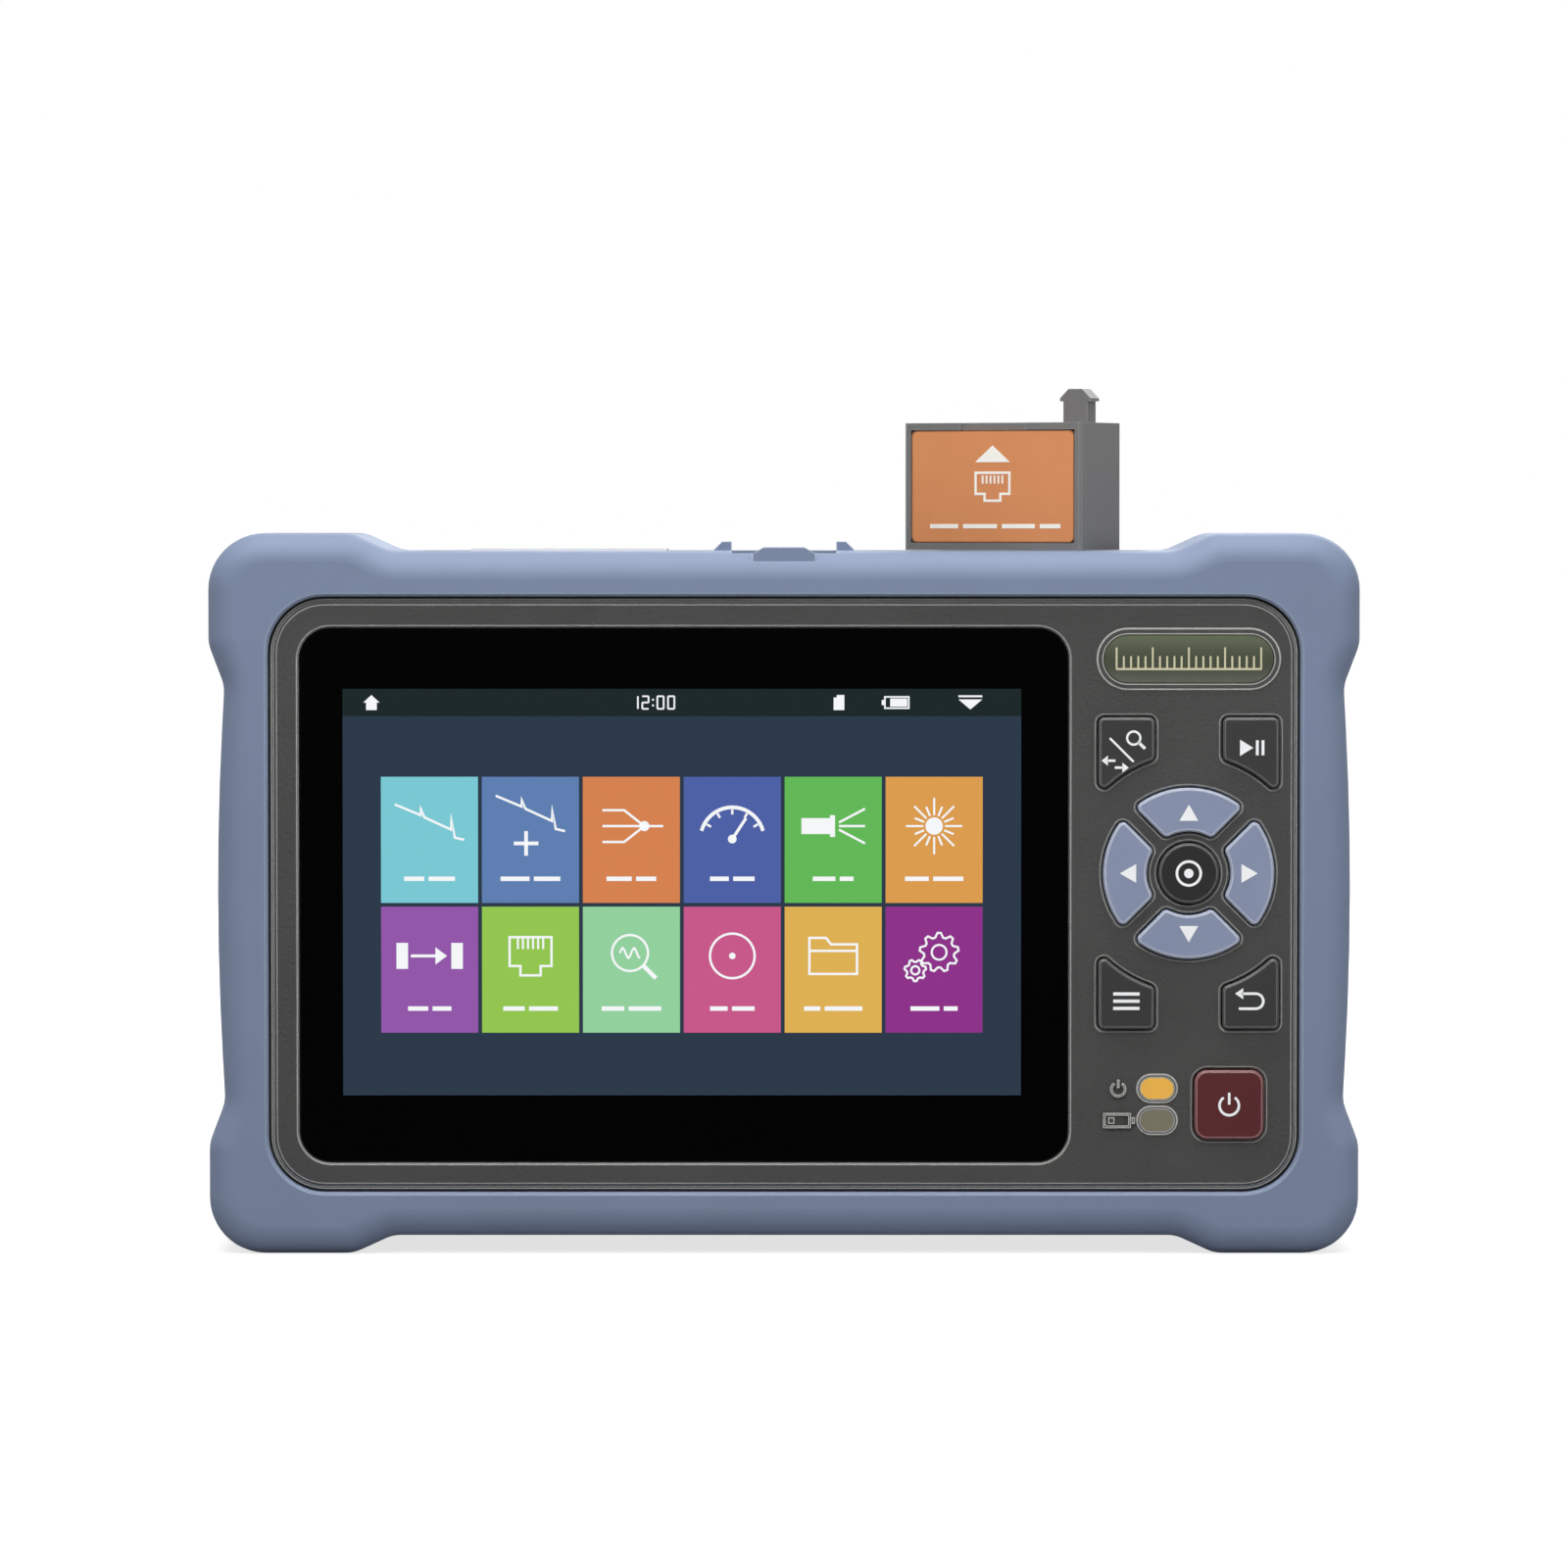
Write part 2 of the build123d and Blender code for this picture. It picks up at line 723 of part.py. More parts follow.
def hinged_cover(width, top):
    """Shallow box lid whose barrel turns on a pin, with its raised part clear of the boot when open."""
    base = -hinge_lift + 0.15
    low_top = cover_low - hinge_lift
    high_top = top - hinge_lift
    raised_from = -cover_barrel_r - 2.1
    profile = Polygon(
        (0, base), (0, low_top), (raised_from, low_top), (raised_from, high_top),
        (-cover_len + 0.6, high_top), (-cover_len, high_top - 0.6), (-cover_len, base), align=None,
    )
    side = Plane((-width / 2, 0, 0), x_dir=(0, 1, 0), z_dir=(1, 0, 0))
    lid = extrude(side * profile, amount=width)
    roof = high_top - cover_t
    hollow_back = raised_from - 0.2
    lid -= block(-width / 2 + cover_t, width / 2 - cover_t, -cover_len + cover_t, hollow_back, base, roof)
    lid += extrude(side * Circle(cover_barrel_r), amount=width)
    return lid - extrude(side * Circle(cover_pin_r + pin_fit), amount=width)


def hinge_pin(width):
    """Steel hinge pin that ends just inside the cover's two ears."""
    reach = width / 2 + ear_gap + cover_ear - fit
    side = Plane((-reach, 0, 0), x_dir=(0, 1, 0), z_dir=(1, 0, 0))
    return extrude(side * Circle(cover_pin_r), amount=2 * reach)


def hinge_ears(width):
    """Two ears that stand on the housing and hold the pin."""
    ears = Part()
    profile = Circle(cover_barrel_r) + Pos(0, -hinge_lift / 2) * Rectangle(2 * cover_barrel_r, hinge_lift)
    profile -= Circle(cover_pin_r + pin_fit)
    for side in (-1, 1):
        start = width / 2 + ear_gap if side > 0 else -width / 2 - ear_gap - cover_ear
        plane = Plane((start, 0, 0), x_dir=(0, 1, 0), z_dir=(1, 0, 0))
        ears += extrude(plane * profile, amount=cover_ear)
    return ears


def top_place(x):
    """Hinge place of a cover on the top face."""
    return Pos(x, hinge_y, case_top + hinge_lift)


side_place = Plane((case_w / 2 + hinge_lift, hinge_y, mid_z), x_dir=(0, 0, -1), z_dir=(1, 0, 0)).location
covers = {
    "fibre_cover": (fibre_cover_w, fibre_cover_top, top_place(fibre_cover_x)),
    "lan_cover": (lan_cover_w, cover_low, top_place(lan_cover_x)),
    "side_cover": (side_cover_w, cover_low, side_place),
}
for cover_name, (cover_w, cover_top, place) in covers.items():
    save(cover_name, place * hinged_cover(cover_w, cover_top))
    save(cover_name + "_pin", place * hinge_pin(cover_w))


# Sockets

adapter_xs = [fibre_cover_x + n * adapter_pitch for n in (-1, 0, 1)]
wall_under = case_top - side_wall_t
plate_top = wall_under - fit
plate_low = plate_top - port_plate_t
barrel_top = case_top + 1.4
well_w = 2 * adapter_pitch + 2 * adapter_flange_r + 2 * well_gap
well_d = 2 * adapter_flange_r + 2 * well_gap


def fibre_adapter(x):
    """Round ferrule adapter: flange on the port plate, barrel above it, sleeve below it."""
    place = Pos(x, channel_mid)
    body = tower(place * Circle(adapter_flange_r), plate_top, plate_top + adapter_flange_t)
    body += tower(place * Circle(adapter_r), plate_top, barrel_top)
    body += tower(place * Circle(adapter_r * 0.7), barrel_top - adapter_depth - 1.5, plate_top)
    return body - tower(place * Circle(ferrule_r), barrel_top - adapter_depth, barrel_top)


for adapter_name, x in zip(("otdr_adapter", "meter_adapter", "pointer_adapter"), adapter_xs):
    save(adapter_name, fibre_adapter(x))

plate_outline = Rectangle(well_w + 2 * port_plate_over, well_d + 2 * port_plate_over)
plate = tower(Pos(fibre_cover_x, channel_mid) * plate_outline, plate_low, plate_top)
for x in adapter_xs:
    plate -= tower(Pos(x, channel_mid) * Circle(adapter_r * 0.7 + fit), plate_low, plate_top)
save("port_plate", plate)

jack_y = board_back_y + fit
jack_mid = jack_y + jack_d / 2


def lan_jack():
    """Eight-way modular jack, open upwards, with the keyway for the plug's latch."""
    body = block(lan_cover_x - jack_w / 2, lan_cover_x + jack_w / 2, jack_y, jack_y + jack_d,
                 case_top - jack_h, case_top)
    mouth = Pos(lan_cover_x, jack_mid) * Rectangle(plug_w, plug_d)
    keyway = Pos(lan_cover_x, jack_mid + plug_d / 2) * Rectangle(plug_w * 0.5, latch_d)
    return body - tower(mouth + keyway, case_top - plug_h, case_top)


save("lan_jack", lan_jack())

usb_v = (card_w + side_socket_gap) / 2
card_v = -(usb_w + side_socket_gap) / 2
side_x = case_w / 2


def side_socket(v, width, thick, length, wall):
    """Flat metal-shell socket on the board, open to the right side."""
    y = board_back_y + fit
    z = mid_z + v
    body = block(side_x - length, side_x, y, y + thick, z - width / 2, z + width / 2)
    return body - block(side_x - length + 1, side_x, y + wall, y + thick - wall, z - width / 2 + wall,
                        z + width / 2 - wall)


save("usb_socket", side_socket(usb_v, usb_w, usb_d, usb_h, 0.35))
save("card_socket", side_socket(card_v, card_w, card_d, card_h, 0.35))


# Rear housing

door_w = battery_w + 2 * door_over_w
door_h = battery_h + 2 * door_over_h
stand_w = door_w + 2 * stand_side_gap + 2 * stand_leg
battery_v = stand_top - door_drop - door_h / 2
stand_low = battery_v - door_h / 2 - stand_foot_gap - stand_leg
door_seat_y = back_face_y - fit - door_t
stand_back_y = back_face_y - fit
stand_front_y = stand_back_y - stand_t
stand_axis_y = (stand_front_y + stand_back_y) / 2


def stand_outline(grow, over):
    """U-shaped outline of the folding stand, cut square at a height over its hinge line."""
    bottom = stand_low - grow
    tall = 2 * (stand_top - bottom)
    shape = at(0, bottom + tall / 2, RectangleRounded(stand_w + 2 * grow, tall, stand_corner_r + grow))
    hole_w = stand_w - 2 * stand_leg - 2 * grow
    hole_low = bottom + stand_leg + 2 * grow
    shape -= at(0, hole_low + tall / 2, RectangleRounded(hole_w, tall, stand_corner_r / 2))
    return shape - at(0, stand_top + over + tall / 2, Rectangle(2 * stand_w, tall))


def rear_housing():
    """Rear shell with the socket openings, the hinge ears, the stand's recess and the battery door's seat."""
    shell = slab(RectangleRounded(case_w, case_h, case_r), rear_split_y, rear_rim_y)
    raised = slab(RectangleRounded(field_w, field_h, field_r), rear_rim_y, back_face_y)
    shell += chamfer(outer_edges(raised, back_face_y), field_edge)
    shell -= slab(RectangleRounded(inner_w, inner_h, inner_r), rear_split_y, back_inner_y)
    cradle = Rectangle(battery_w + 2 * loose + 3, battery_h + 2 * loose + 3)
    cradle -= Rectangle(battery_w + 2 * loose, battery_h + 2 * loose)
    shell += slab(at(0, battery_v, cradle), battery_y + 1, back_inner_y)
    shell += drilled(case_bosses, boss_r, rear_split_y, back_inner_y)
    for spot in case_bosses:
        shell -= drilled([spot], screw_r + 0.2, rear_split_y, back_face_y)
        shell -= drilled([spot], screw_head_r + 0.4, screw_seat_y, back_face_y)
    shell -= tower(Pos(fibre_cover_x, channel_mid) * Rectangle(well_w, well_d), wall_under - 1, case_top)
    jack_hole = Rectangle(jack_w + 2 * fit, jack_d + 2 * fit)
    shell -= tower(Pos(lan_cover_x, jack_mid) * jack_hole, wall_under - 1, case_top)
    bay_hole = RectangleRounded(bay_w + 2 * fit, bay_d + 2 * fit, bay_r)
    shell -= tower(Pos(remote_x, channel_mid) * bay_hole, wall_under - 1, case_top)
    y = board_back_y
    for v, width, thick in ((usb_v, usb_w, usb_d), (card_v, card_w, card_d)):
        z = mid_z + v
        shell -= block(side_x - side_wall_t - 1, side_x, y, y + thick + 2 * fit, z - width / 2 - fit,
                       z + width / 2 + fit)
    for width, top, place in covers.values():
        shell += place * hinge_ears(width)
    shell -= slab(stand_outline(stand_gap, stand_t / 2 + stand_gap), stand_front_y - fit, back_face_y)
    scoop = at(0, stand_low - 1, SlotOverall(scoop_w, scoop_h))
    shell -= slab(scoop, stand_front_y - fit, back_face_y)
    for side in (-1, 1):
        start = side * (stand_w / 2 - stand_leg - pin_bite)
        plane = Plane((start, stand_axis_y, mid_z + stand_top), x_dir=(0, 1, 0), z_dir=(side, 0, 0))
        shell -= extrude(plane * Circle(stand_pin_r + pin_fit), amount=stand_leg + 2 * pin_bite)
    door_seat = RectangleRounded(door_w + 2 * loose, door_h + 2 * loose, door_r + loose)
    shell -= slab(at(0, battery_v, door_seat), door_seat_y, back_face_y)
    shell -= slab(at(0, battery_v, Rectangle(battery_w, battery_h)), back_inner_y, door_seat_y)
    shell -= drilled(sound_holes, sound_r, back_inner_y, back_face_y)
    return shell - drilled(door_screw_spots, small_r + fit, door_seat_y - door_hole, door_seat_y)


screw_seat_y = rear_split_y + case_seat
pin_bite = 3.0
door_screw_spots = [(side * (door_w / 2 - door_over_w * 0.56), battery_v) for side in (-1, 1)]
buzzer_x = inner_w / 2 - buzzer_inset
buzzer_v = card_v - card_w / 2 - side_socket_gap - 2 * buzzer_r
ring_of_four = [(sound_pitch, 0), (0, sound_pitch), (-sound_pitch, 0), (0, -sound_pitch)]
sound_holes = [(buzzer_x + x, buzzer_v + v) for x, v in [(0, 0)] + ring_of_four]
save("rear_case", rear_housing())
save("case_screws", pan_screws(case_bosses, screw_r, screw_head_r, screw_head_t, screw_seat_y, case_screw_l))

door = slab(at(0, battery_v, RectangleRounded(door_w, door_h, door_r)), door_seat_y, stand_back_y)
door -= drilled(door_screw_spots, small_r + fit, door_seat_y, stand_back_y)
door_head_y = door_seat_y + small_head_t
door -= drilled(door_screw_spots, small_head_r + fit, door_head_y, stand_back_y)
for n in range(grip_count):
    grip_v = battery_v + (n - (grip_count - 1) / 2) * grip_pitch
    door -= slab(at(0, grip_v, Rectangle(grip_w, grip_h)), stand_back_y - grip_t, stand_back_y)
save("battery_door", door)
door_screws = pan_screws(door_screw_spots, small_r, small_head_r, small_head_t, door_head_y, door_screw_l)
save("battery_door_screws", door_screws)


# Folding stand

def kickstand():
    """U-shaped stand with round hinge ends that turn on two pins."""
    body = slab(stand_outline(0, 0), stand_front_y, stand_back_y)
    for side in (-1, 1):
        start = side * (stand_w / 2 - stand_leg)
        plane = Plane((start, stand_axis_y, mid_z + stand_top), x_dir=(0, 1, 0), z_dir=(side, 0, 0))
        body += extrude(plane * Circle(stand_t / 2), amount=stand_leg)
        body -= extrude(plane * Circle(stand_pin_r + pin_fit), amount=stand_leg)
    return body


def stand_pins():
    """Two short steel pins held in the rear housing."""
    pins = Part()
    for side in (-1, 1):
        start = side * (stand_w / 2 - stand_leg - pin_bite + fit)
        plane = Plane((start, stand_axis_y, mid_z + stand_top), x_dir=(0, 1, 0), z_dir=(side, 0, 0))
        pins += extrude(plane * Circle(stand_pin_r), amount=stand_leg + 2 * pin_bite - 2 * fit)
    return pins


save("kickstand", kickstand())
save("stand_pins", stand_pins())


# Boards, optical engine, battery and buzzer

def main_board():
    """Main circuit board, cut out at its corners for the bosses and at its top for the bay."""
    board = slab(Rectangle(inner_w - 2, inner_h - 2), board_y, board_back_y)
    corner = 2 * (2 * boss_r + boss_inset + 2 * loose)
    board -= slab(spots(four(inner_w / 2, inner_h / 2), Rectangle(corner, corner)), board_y, board_back_y)
    notch_low = bay_bottom - 1 - mid_z
    notch = Rectangle(bay_w + 2, 2 * (inner_h / 2 - notch_low))
    board -= slab(at(remote_x, inner_h / 2, notch), board_y, board_back_y)
    return board - drilled(board_posts, small_r + fit, board_y, board_back_y)


save("main_board", main_board())
save("board_screws", pan_screws(board_posts, small_r, small_head_r, small_head_t, board_back_y, board_screw_l))

engine_x = post_left + post_r + engine_gap + engine_w / 2
engine_v = battery_v + (battery_h - engine_h) / 2
engine = slab(at(engine_x, engine_v, Rectangle(engine_w, engine_h)), engine_y, engine_y + engine_t)
engine = chamfer(engine.faces().sort_by(Axis.Y)[-1].edges(), engine_edge)
save("optical_engine", engine)

battery = slab(at(0, battery_v, Rectangle(battery_w, battery_h)), battery_y, battery_y + battery_t)
save("battery_pack", fillet(battery.edges().filter_by(Axis.Z), battery_r))

buzzer_y = board_back_y + fit
save("buzzer", drilled([(buzzer_x, buzzer_v)], buzzer_r, buzzer_y, buzzer_y + buzzer_h))


# Far-end unit

remote_place = Pos(remote_x, channel_mid, rail_top + fit) * Rot(0, 0, remote_turn)
remote_jack_h = 14.0
base_t = 1.2


def remote_shell():
    """Small box with a framed front recess for its label and a latch post on top, open below."""
    body = Pos(0, 0, remote_h / 2) * Box(remote_w, remote_d, remote_h)
    body = chamfer(body.edges().filter_by(Axis.Z), 0.4)
    front = -remote_d / 2
    half_w = remote_w / 2 - remote_frame
    body -= block(-half_w, half_w, front, front + label_t + fit, remote_frame, remote_h - remote_frame)
    notch = remote_w * 0.18
    body -= block(-notch, notch, front, front + label_t, remote_h - remote_frame, remote_h)
    in_w = remote_w / 2 - remote_wall
    in_d = remote_d / 2 - remote_wall
    body -= block(-in_w, in_w, front + label_t + remote_wall, in_d, 0, remote_h - remote_wall)
    neck = Pos(post_x, post_y, remote_h + post_h / 2) * Box(post_w, post_d, post_h)
    head = Polygon(
        (-post_w / 2 - post_head_over, 0), (post_w / 2 + post_head_over, 0),
        (post_w / 2 + post_head_over, 0.5), (post_w / 2 - 0.9, post_head_h),
        (-post_w / 2 + 0.9, post_head_h), (-post_w / 2 - post_head_over, 0.5), align=None,
    )
    plane = Plane((post_x, post_y + post_d / 2, remote_h + post_h), x_dir=(1, 0, 0), z_dir=(0, -1, 0))
    return body + neck + extrude(plane * head, amount=post_d)


def remote_label():
    """Thin label plate that fills the front recess."""
    front = -remote_d / 2 + fit
    half_w = remote_w / 2 - remote_frame - fit
    low = remote_frame + fit
    plate = block(-half_w, half_w, front, front + label_t - fit, low, remote_h - low)
    return fillet(plate.edges().filter_by(Axis.Y), 1.0)


def remote_base():
    """Bottom plate inside the unit's walls, open for the jack."""
    in_w = remote_w / 2 - remote_wall - fit
    y_low = -remote_d / 2 + label_t + remote_wall + fit
    y_high = remote_d / 2 - remote_wall - fit
    plate = block(-in_w, in_w, y_low, y_high, 0, base_t)
    return plate - block(-plug_w / 2 - 0.5, plug_w / 2 + 0.5, y_low + 1.5, y_high - 1.5, 0, base_t)


def remote_jack():
    """Jack inside the unit, open downwards."""
    y_low = -remote_d / 2 + label_t + remote_wall + fit
    y_high = remote_d / 2 - remote_wall - fit
    body = block(-jack_w / 2, jack_w / 2, y_low, y_high, base_t, base_t + remote_jack_h)
    y_mid = (y_low + y_high) / 2
    return body - block(-plug_w / 2, plug_w / 2, y_mid - plug_d / 2, y_mid + plug_d / 2, base_t,
                        base_t + plug_h)


def remote_board():
    """Small board on top of the jack."""
    in_w = remote_w / 2 - remote_wall - loose
    y_low = -remote_d / 2 + label_t + remote_wall + loose
    y_high = remote_d / 2 - remote_wall - loose
    low = base_t + remote_jack_h
    return block(-in_w, in_w, y_low, y_high, low, low + 1.2)


for piece in (remote_shell, remote_label, remote_base, remote_jack, remote_board):
    save(piece.__name__, remote_place * piece())

print(f"overall {overall_w:.2f} x {depth:.2f} x {overall_h:.2f}, field {field_w:.2f} x {field_h:.2f}")
print(f"channel y {channel_front:.2f} to {channel_back:.2f}, case top {case_top:.2f}, rail {rail_top:.2f}")
print(f"covers at x {fibre_cover_x:.3f} and {lan_cover_x:.3f}, bay at x {remote_x:.3f}")
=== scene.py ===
"""Dressed model of a handheld optical time domain reflectometer, in metres, in the frame of its solids."""
import math

import bmesh
import bpy
import numpy as np
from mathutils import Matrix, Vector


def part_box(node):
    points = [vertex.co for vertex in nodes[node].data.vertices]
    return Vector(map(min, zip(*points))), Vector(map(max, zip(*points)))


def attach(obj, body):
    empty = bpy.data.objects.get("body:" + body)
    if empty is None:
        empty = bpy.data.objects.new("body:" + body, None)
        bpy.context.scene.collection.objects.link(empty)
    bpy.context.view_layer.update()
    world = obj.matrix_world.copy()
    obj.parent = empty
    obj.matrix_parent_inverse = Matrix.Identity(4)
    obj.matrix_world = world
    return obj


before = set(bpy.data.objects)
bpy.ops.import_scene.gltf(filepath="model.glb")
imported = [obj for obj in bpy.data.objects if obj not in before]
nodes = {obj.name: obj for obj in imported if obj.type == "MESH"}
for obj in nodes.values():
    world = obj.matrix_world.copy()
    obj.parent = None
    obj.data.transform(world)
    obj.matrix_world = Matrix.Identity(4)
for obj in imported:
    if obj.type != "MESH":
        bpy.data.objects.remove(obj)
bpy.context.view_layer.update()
MM = 0.001

# Camera.
# A long lens looks almost straight at the display, a touch from above, so that the
# top faces close up to a line.
picture_width = 249.3 * MM
picture_middle = 75.15 * MM
camera_distance = 1.2
camera_rise = math.radians(2.0)
front_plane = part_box("front_bumper")[0].y

camera_data = bpy.data.cameras.new("camera")
camera_data.sensor_width = 36.0
camera_data.lens = camera_data.sensor_width * camera_distance / picture_width
camera = bpy.data.objects.new("camera", camera_data)
bpy.context.scene.collection.objects.link(camera)
camera.location = (
    0.0,
    front_plane - camera_distance * math.cos(camera_rise),
    picture_middle + camera_distance * math.sin(camera_rise),
)
camera.rotation_euler = (math.pi / 2 - camera_rise, 0.0, 0.0)
bpy.context.scene.camera = camera

# Studio: a white sweep lit by soft boxes.
# The floor is matt white board. One large soft box stands high in front, a second
# hangs over the top, and the side behind the camera is dark, as in a real studio.


def tone(code):
    """An sRGB hex colour as linear red, green, blue and alpha."""
    parts = np.array([int(code[i:i + 2], 16) / 255 for i in (0, 2, 4)])
    linear = np.where(parts <= 0.04045, parts / 12.92, ((parts + 0.055) / 1.055) ** 2.4)
    return (*[float(v) for v in linear], 1.0)


def add(tree, kind, sockets=None, **settings):
    """One shader node, with its settings, and each socket set to a value or linked to an output."""
    made = tree.nodes.new(kind)
    for name, value in settings.items():
        setattr(made, name, value)
    for name, value in (sockets or {}).items():
        if isinstance(value, bpy.types.NodeSocket):
            tree.links.new(value, made.inputs[name])
        else:
            made.inputs[name].default_value = value
    return made


def new_material(name):
    """An empty material and its tree."""
    material = bpy.data.materials.new(name)
    material.use_nodes = True
    material.node_tree.nodes.clear()
    return material, material.node_tree


world = bpy.data.worlds.new("studio")
bpy.context.scene.world = world
world.use_nodes = True
sky = world.node_tree
sky.nodes.clear()

# The camera and shiny surfaces see plain white, apart from a dark patch behind the camera that
# keeps the glass black. Everything else gets a soft fill from all round.
fill_level = 0.29
path = add(sky, "ShaderNodeLightPath")
heading = add(sky, "ShaderNodeTexCoord").outputs["Generated"]
split = add(sky, "ShaderNodeSeparateXYZ", {"Vector": heading})
front_dark = add(sky, "ShaderNodeMapRange", {
    "Value": split.outputs["Y"], "From Min": -0.97, "From Max": -0.80, "To Min": 0.0, "To Max": 1.0})
shiny = add(sky, "ShaderNodeMath", {0: path.outputs["Is Glossy Ray"], 1: path.outputs["Is Transmission Ray"]},
            operation="MAXIMUM")
seen = add(sky, "ShaderNodeMath", {0: shiny.outputs[0], 1: front_dark.outputs[0]}, operation="MULTIPLY")
direct = add(sky, "ShaderNodeMath", {0: path.outputs["Is Camera Ray"], 1: seen.outputs[0]},
             operation="MAXIMUM")
not_shiny = add(sky, "ShaderNodeMath", {0: 1.0, 1: shiny.outputs[0]}, operation="SUBTRACT")
soft = add(sky, "ShaderNodeMath", {0: not_shiny.outputs[0], 1: fill_level}, operation="MULTIPLY")
level = add(sky, "ShaderNodeMath", {0: direct.outputs[0], 1: soft.outputs[0]}, operation="MAXIMUM")
studio_light = add(sky, "ShaderNodeBackground", {"Color": (1, 1, 1, 1), "Strength": level.outputs[0]})
add(sky, "ShaderNodeOutputWorld", {"Surface": studio_light.outputs[0]})


def soft_box(name, place, target, width, height, watts):
    """A rectangular soft light at a place, turned to a target, with its lengths in metres."""
    data = bpy.data.lights.new(name, "AREA")
    data.shape = "RECTANGLE"
    data.size = width
    data.size_y = height
    data.energy = watts
    lamp = bpy.data.objects.new(name, data)
    bpy.context.scene.collection.objects.link(lamp)
    lamp.location = place
    aim = np.array(target) - np.array(place)
    flat = math.hypot(aim[0], aim[1])
    lamp.rotation_euler = (math.atan2(flat, -aim[2]), 0.0, math.atan2(-aim[0], aim[1]))


soft_box("front_box", (-0.25, -0.85, 0.85), (0.0, 0.0, 0.06), 0.7, 0.4, 4.7)
soft_box("right_box", (0.8, -0.7, 0.45), (0.0, 0.0, 0.06), 0.4, 0.4, 1.3)
soft_box("top_box", (0.0, -0.10, 0.75), (0.0, 0.0, 0.1), 0.7, 0.3, 3.8)
soft_box("near_strip", (0.0, -0.20, 0.27), (0.0, -0.02, 0.09), 0.36, 0.05, 0.21)
soft_box("back_box", (0.3, 1.0, 0.7), (0.0, 0.0, 0.06), 0.7, 0.5, 5.0)

floor_mesh = bpy.data.meshes.new("floor")
reach = 6.0
floor_corners = [(-reach, -reach, 0), (reach, -reach, 0), (reach, reach, 0), (-reach, reach, 0)]
floor_mesh.from_pydata(floor_corners, [], [(0, 1, 2, 3)])
floor = bpy.data.objects.new("floor", floor_mesh)
bpy.context.scene.collection.objects.link(floor)

# Matt white board, lit from below its picture until it is white. Near the object it glows less,
# so that the contact shadow stays. In mirrors its front half is black, as a studio's flag makes it.
near_glow = 0.74
far_glow = 1.0
mirrored_glow = 0.6
board, tree = new_material("matt_white_board")
lit = add(tree, "ShaderNodeBsdfDiffuse", {"Color": tone("b4b4b4")})
seen_floor = add(tree, "ShaderNodeLightPath")
floor_place = add(tree, "ShaderNodeTexCoord").outputs["Object"]
floor_axes = add(tree, "ShaderNodeSeparateXYZ", {"Vector": floor_place})
behind = add(tree, "ShaderNodeMapRange", {
    "Value": floor_axes.outputs["Y"], "From Min": -0.10, "From Max": 0.10, "To Min": 0.0,
    "To Max": mirrored_glow})
mirrored = add(tree, "ShaderNodeMath", {0: seen_floor.outputs["Is Glossy Ray"], 1: behind.outputs[0]},
               operation="MULTIPLY")
from_object = add(tree, "ShaderNodeVectorMath", {0: floor_place}, operation="LENGTH")
far_white = add(tree, "ShaderNodeMapRange", {
    "Value": from_object.outputs["Value"], "From Min": 0.25, "From Max": 0.9, "To Min": near_glow,
    "To Max": far_glow})
direct = add(tree, "ShaderNodeMath", {0: seen_floor.outputs["Is Camera Ray"], 1: far_white.outputs[0]},
             operation="MULTIPLY")
strength = add(tree, "ShaderNodeMath", {0: mirrored.outputs[0], 1: direct.outputs[0]}, operation="ADD")
glow = add(tree, "ShaderNodeEmission", {"Color": (1, 1, 1, 1), "Strength": strength.outputs[0]})
both = add(tree, "ShaderNodeAddShader", {0: lit.outputs[0], 1: glow.outputs[0]})
black = add(tree, "ShaderNodeBsdfDiffuse", {"Color": (0, 0, 0, 1)})
in_front = add(tree, "ShaderNodeMath", {0: 1.0, 1: behind.outputs[0]}, operation="SUBTRACT")
flagged = add(tree, "ShaderNodeMath", {0: seen_floor.outputs["Is Glossy Ray"], 1: in_front.outputs[0]},
              operation="MULTIPLY")
choice = add(tree, "ShaderNodeMixShader", {0: flagged.outputs[0], 1: both.outputs[0], 2: black.outputs[0]})
add(tree, "ShaderNodeOutputMaterial", {"Surface": choice.outputs[0]})
floor.data.materials.append(board)

# Boards, battery and steel fixings.
# Glass-epoxy boards, a lithium cell pack in shrink film, and the stamped or turned steel parts that
# hold them in the rear housing. They go in first and show only where a cover is open.


def principled(tree, **values):
    """Joins the surface shader of one material, with its sockets set, to its output."""
    sockets = {name.replace("_", " "): value for name, value in values.items()}
    shader = add(tree, "ShaderNodeBsdfPrincipled", sockets)
    add(tree, "ShaderNodeOutputMaterial", {"Surface": shader.outputs[0]})


def drift(tree, size, low, high, detail=2.0):
    """A slow change between two colours over patches of a size in millimetres."""
    where = add(tree, "ShaderNodeTexCoord").outputs["Object"]
    cloud = add(tree, "ShaderNodeTexNoise", {"Vector": where, "Scale": 1 / (size * MM), "Detail": detail})
    mix = add(tree, "ShaderNodeMix", {"Factor": cloud.outputs["Fac"]}, data_type="RGBA")
    mix.inputs[6].default_value = tone(low)
    mix.inputs[7].default_value = tone(high)
    return mix.outputs[2]


def grain(tree, size, depth):
    """Moulded grain: bumps of a size and a depth, both in millimetres."""
    where = add(tree, "ShaderNodeTexCoord").outputs["Object"]
    cloud = add(tree, "ShaderNodeTexNoise", {"Vector": where, "Scale": 1 / (size * MM), "Detail": 3.0})
    sockets = {"Height": cloud.outputs["Fac"], "Strength": 1.0, "Distance": depth * MM}
    return add(tree, "ShaderNodeBump", sockets).outputs[0]


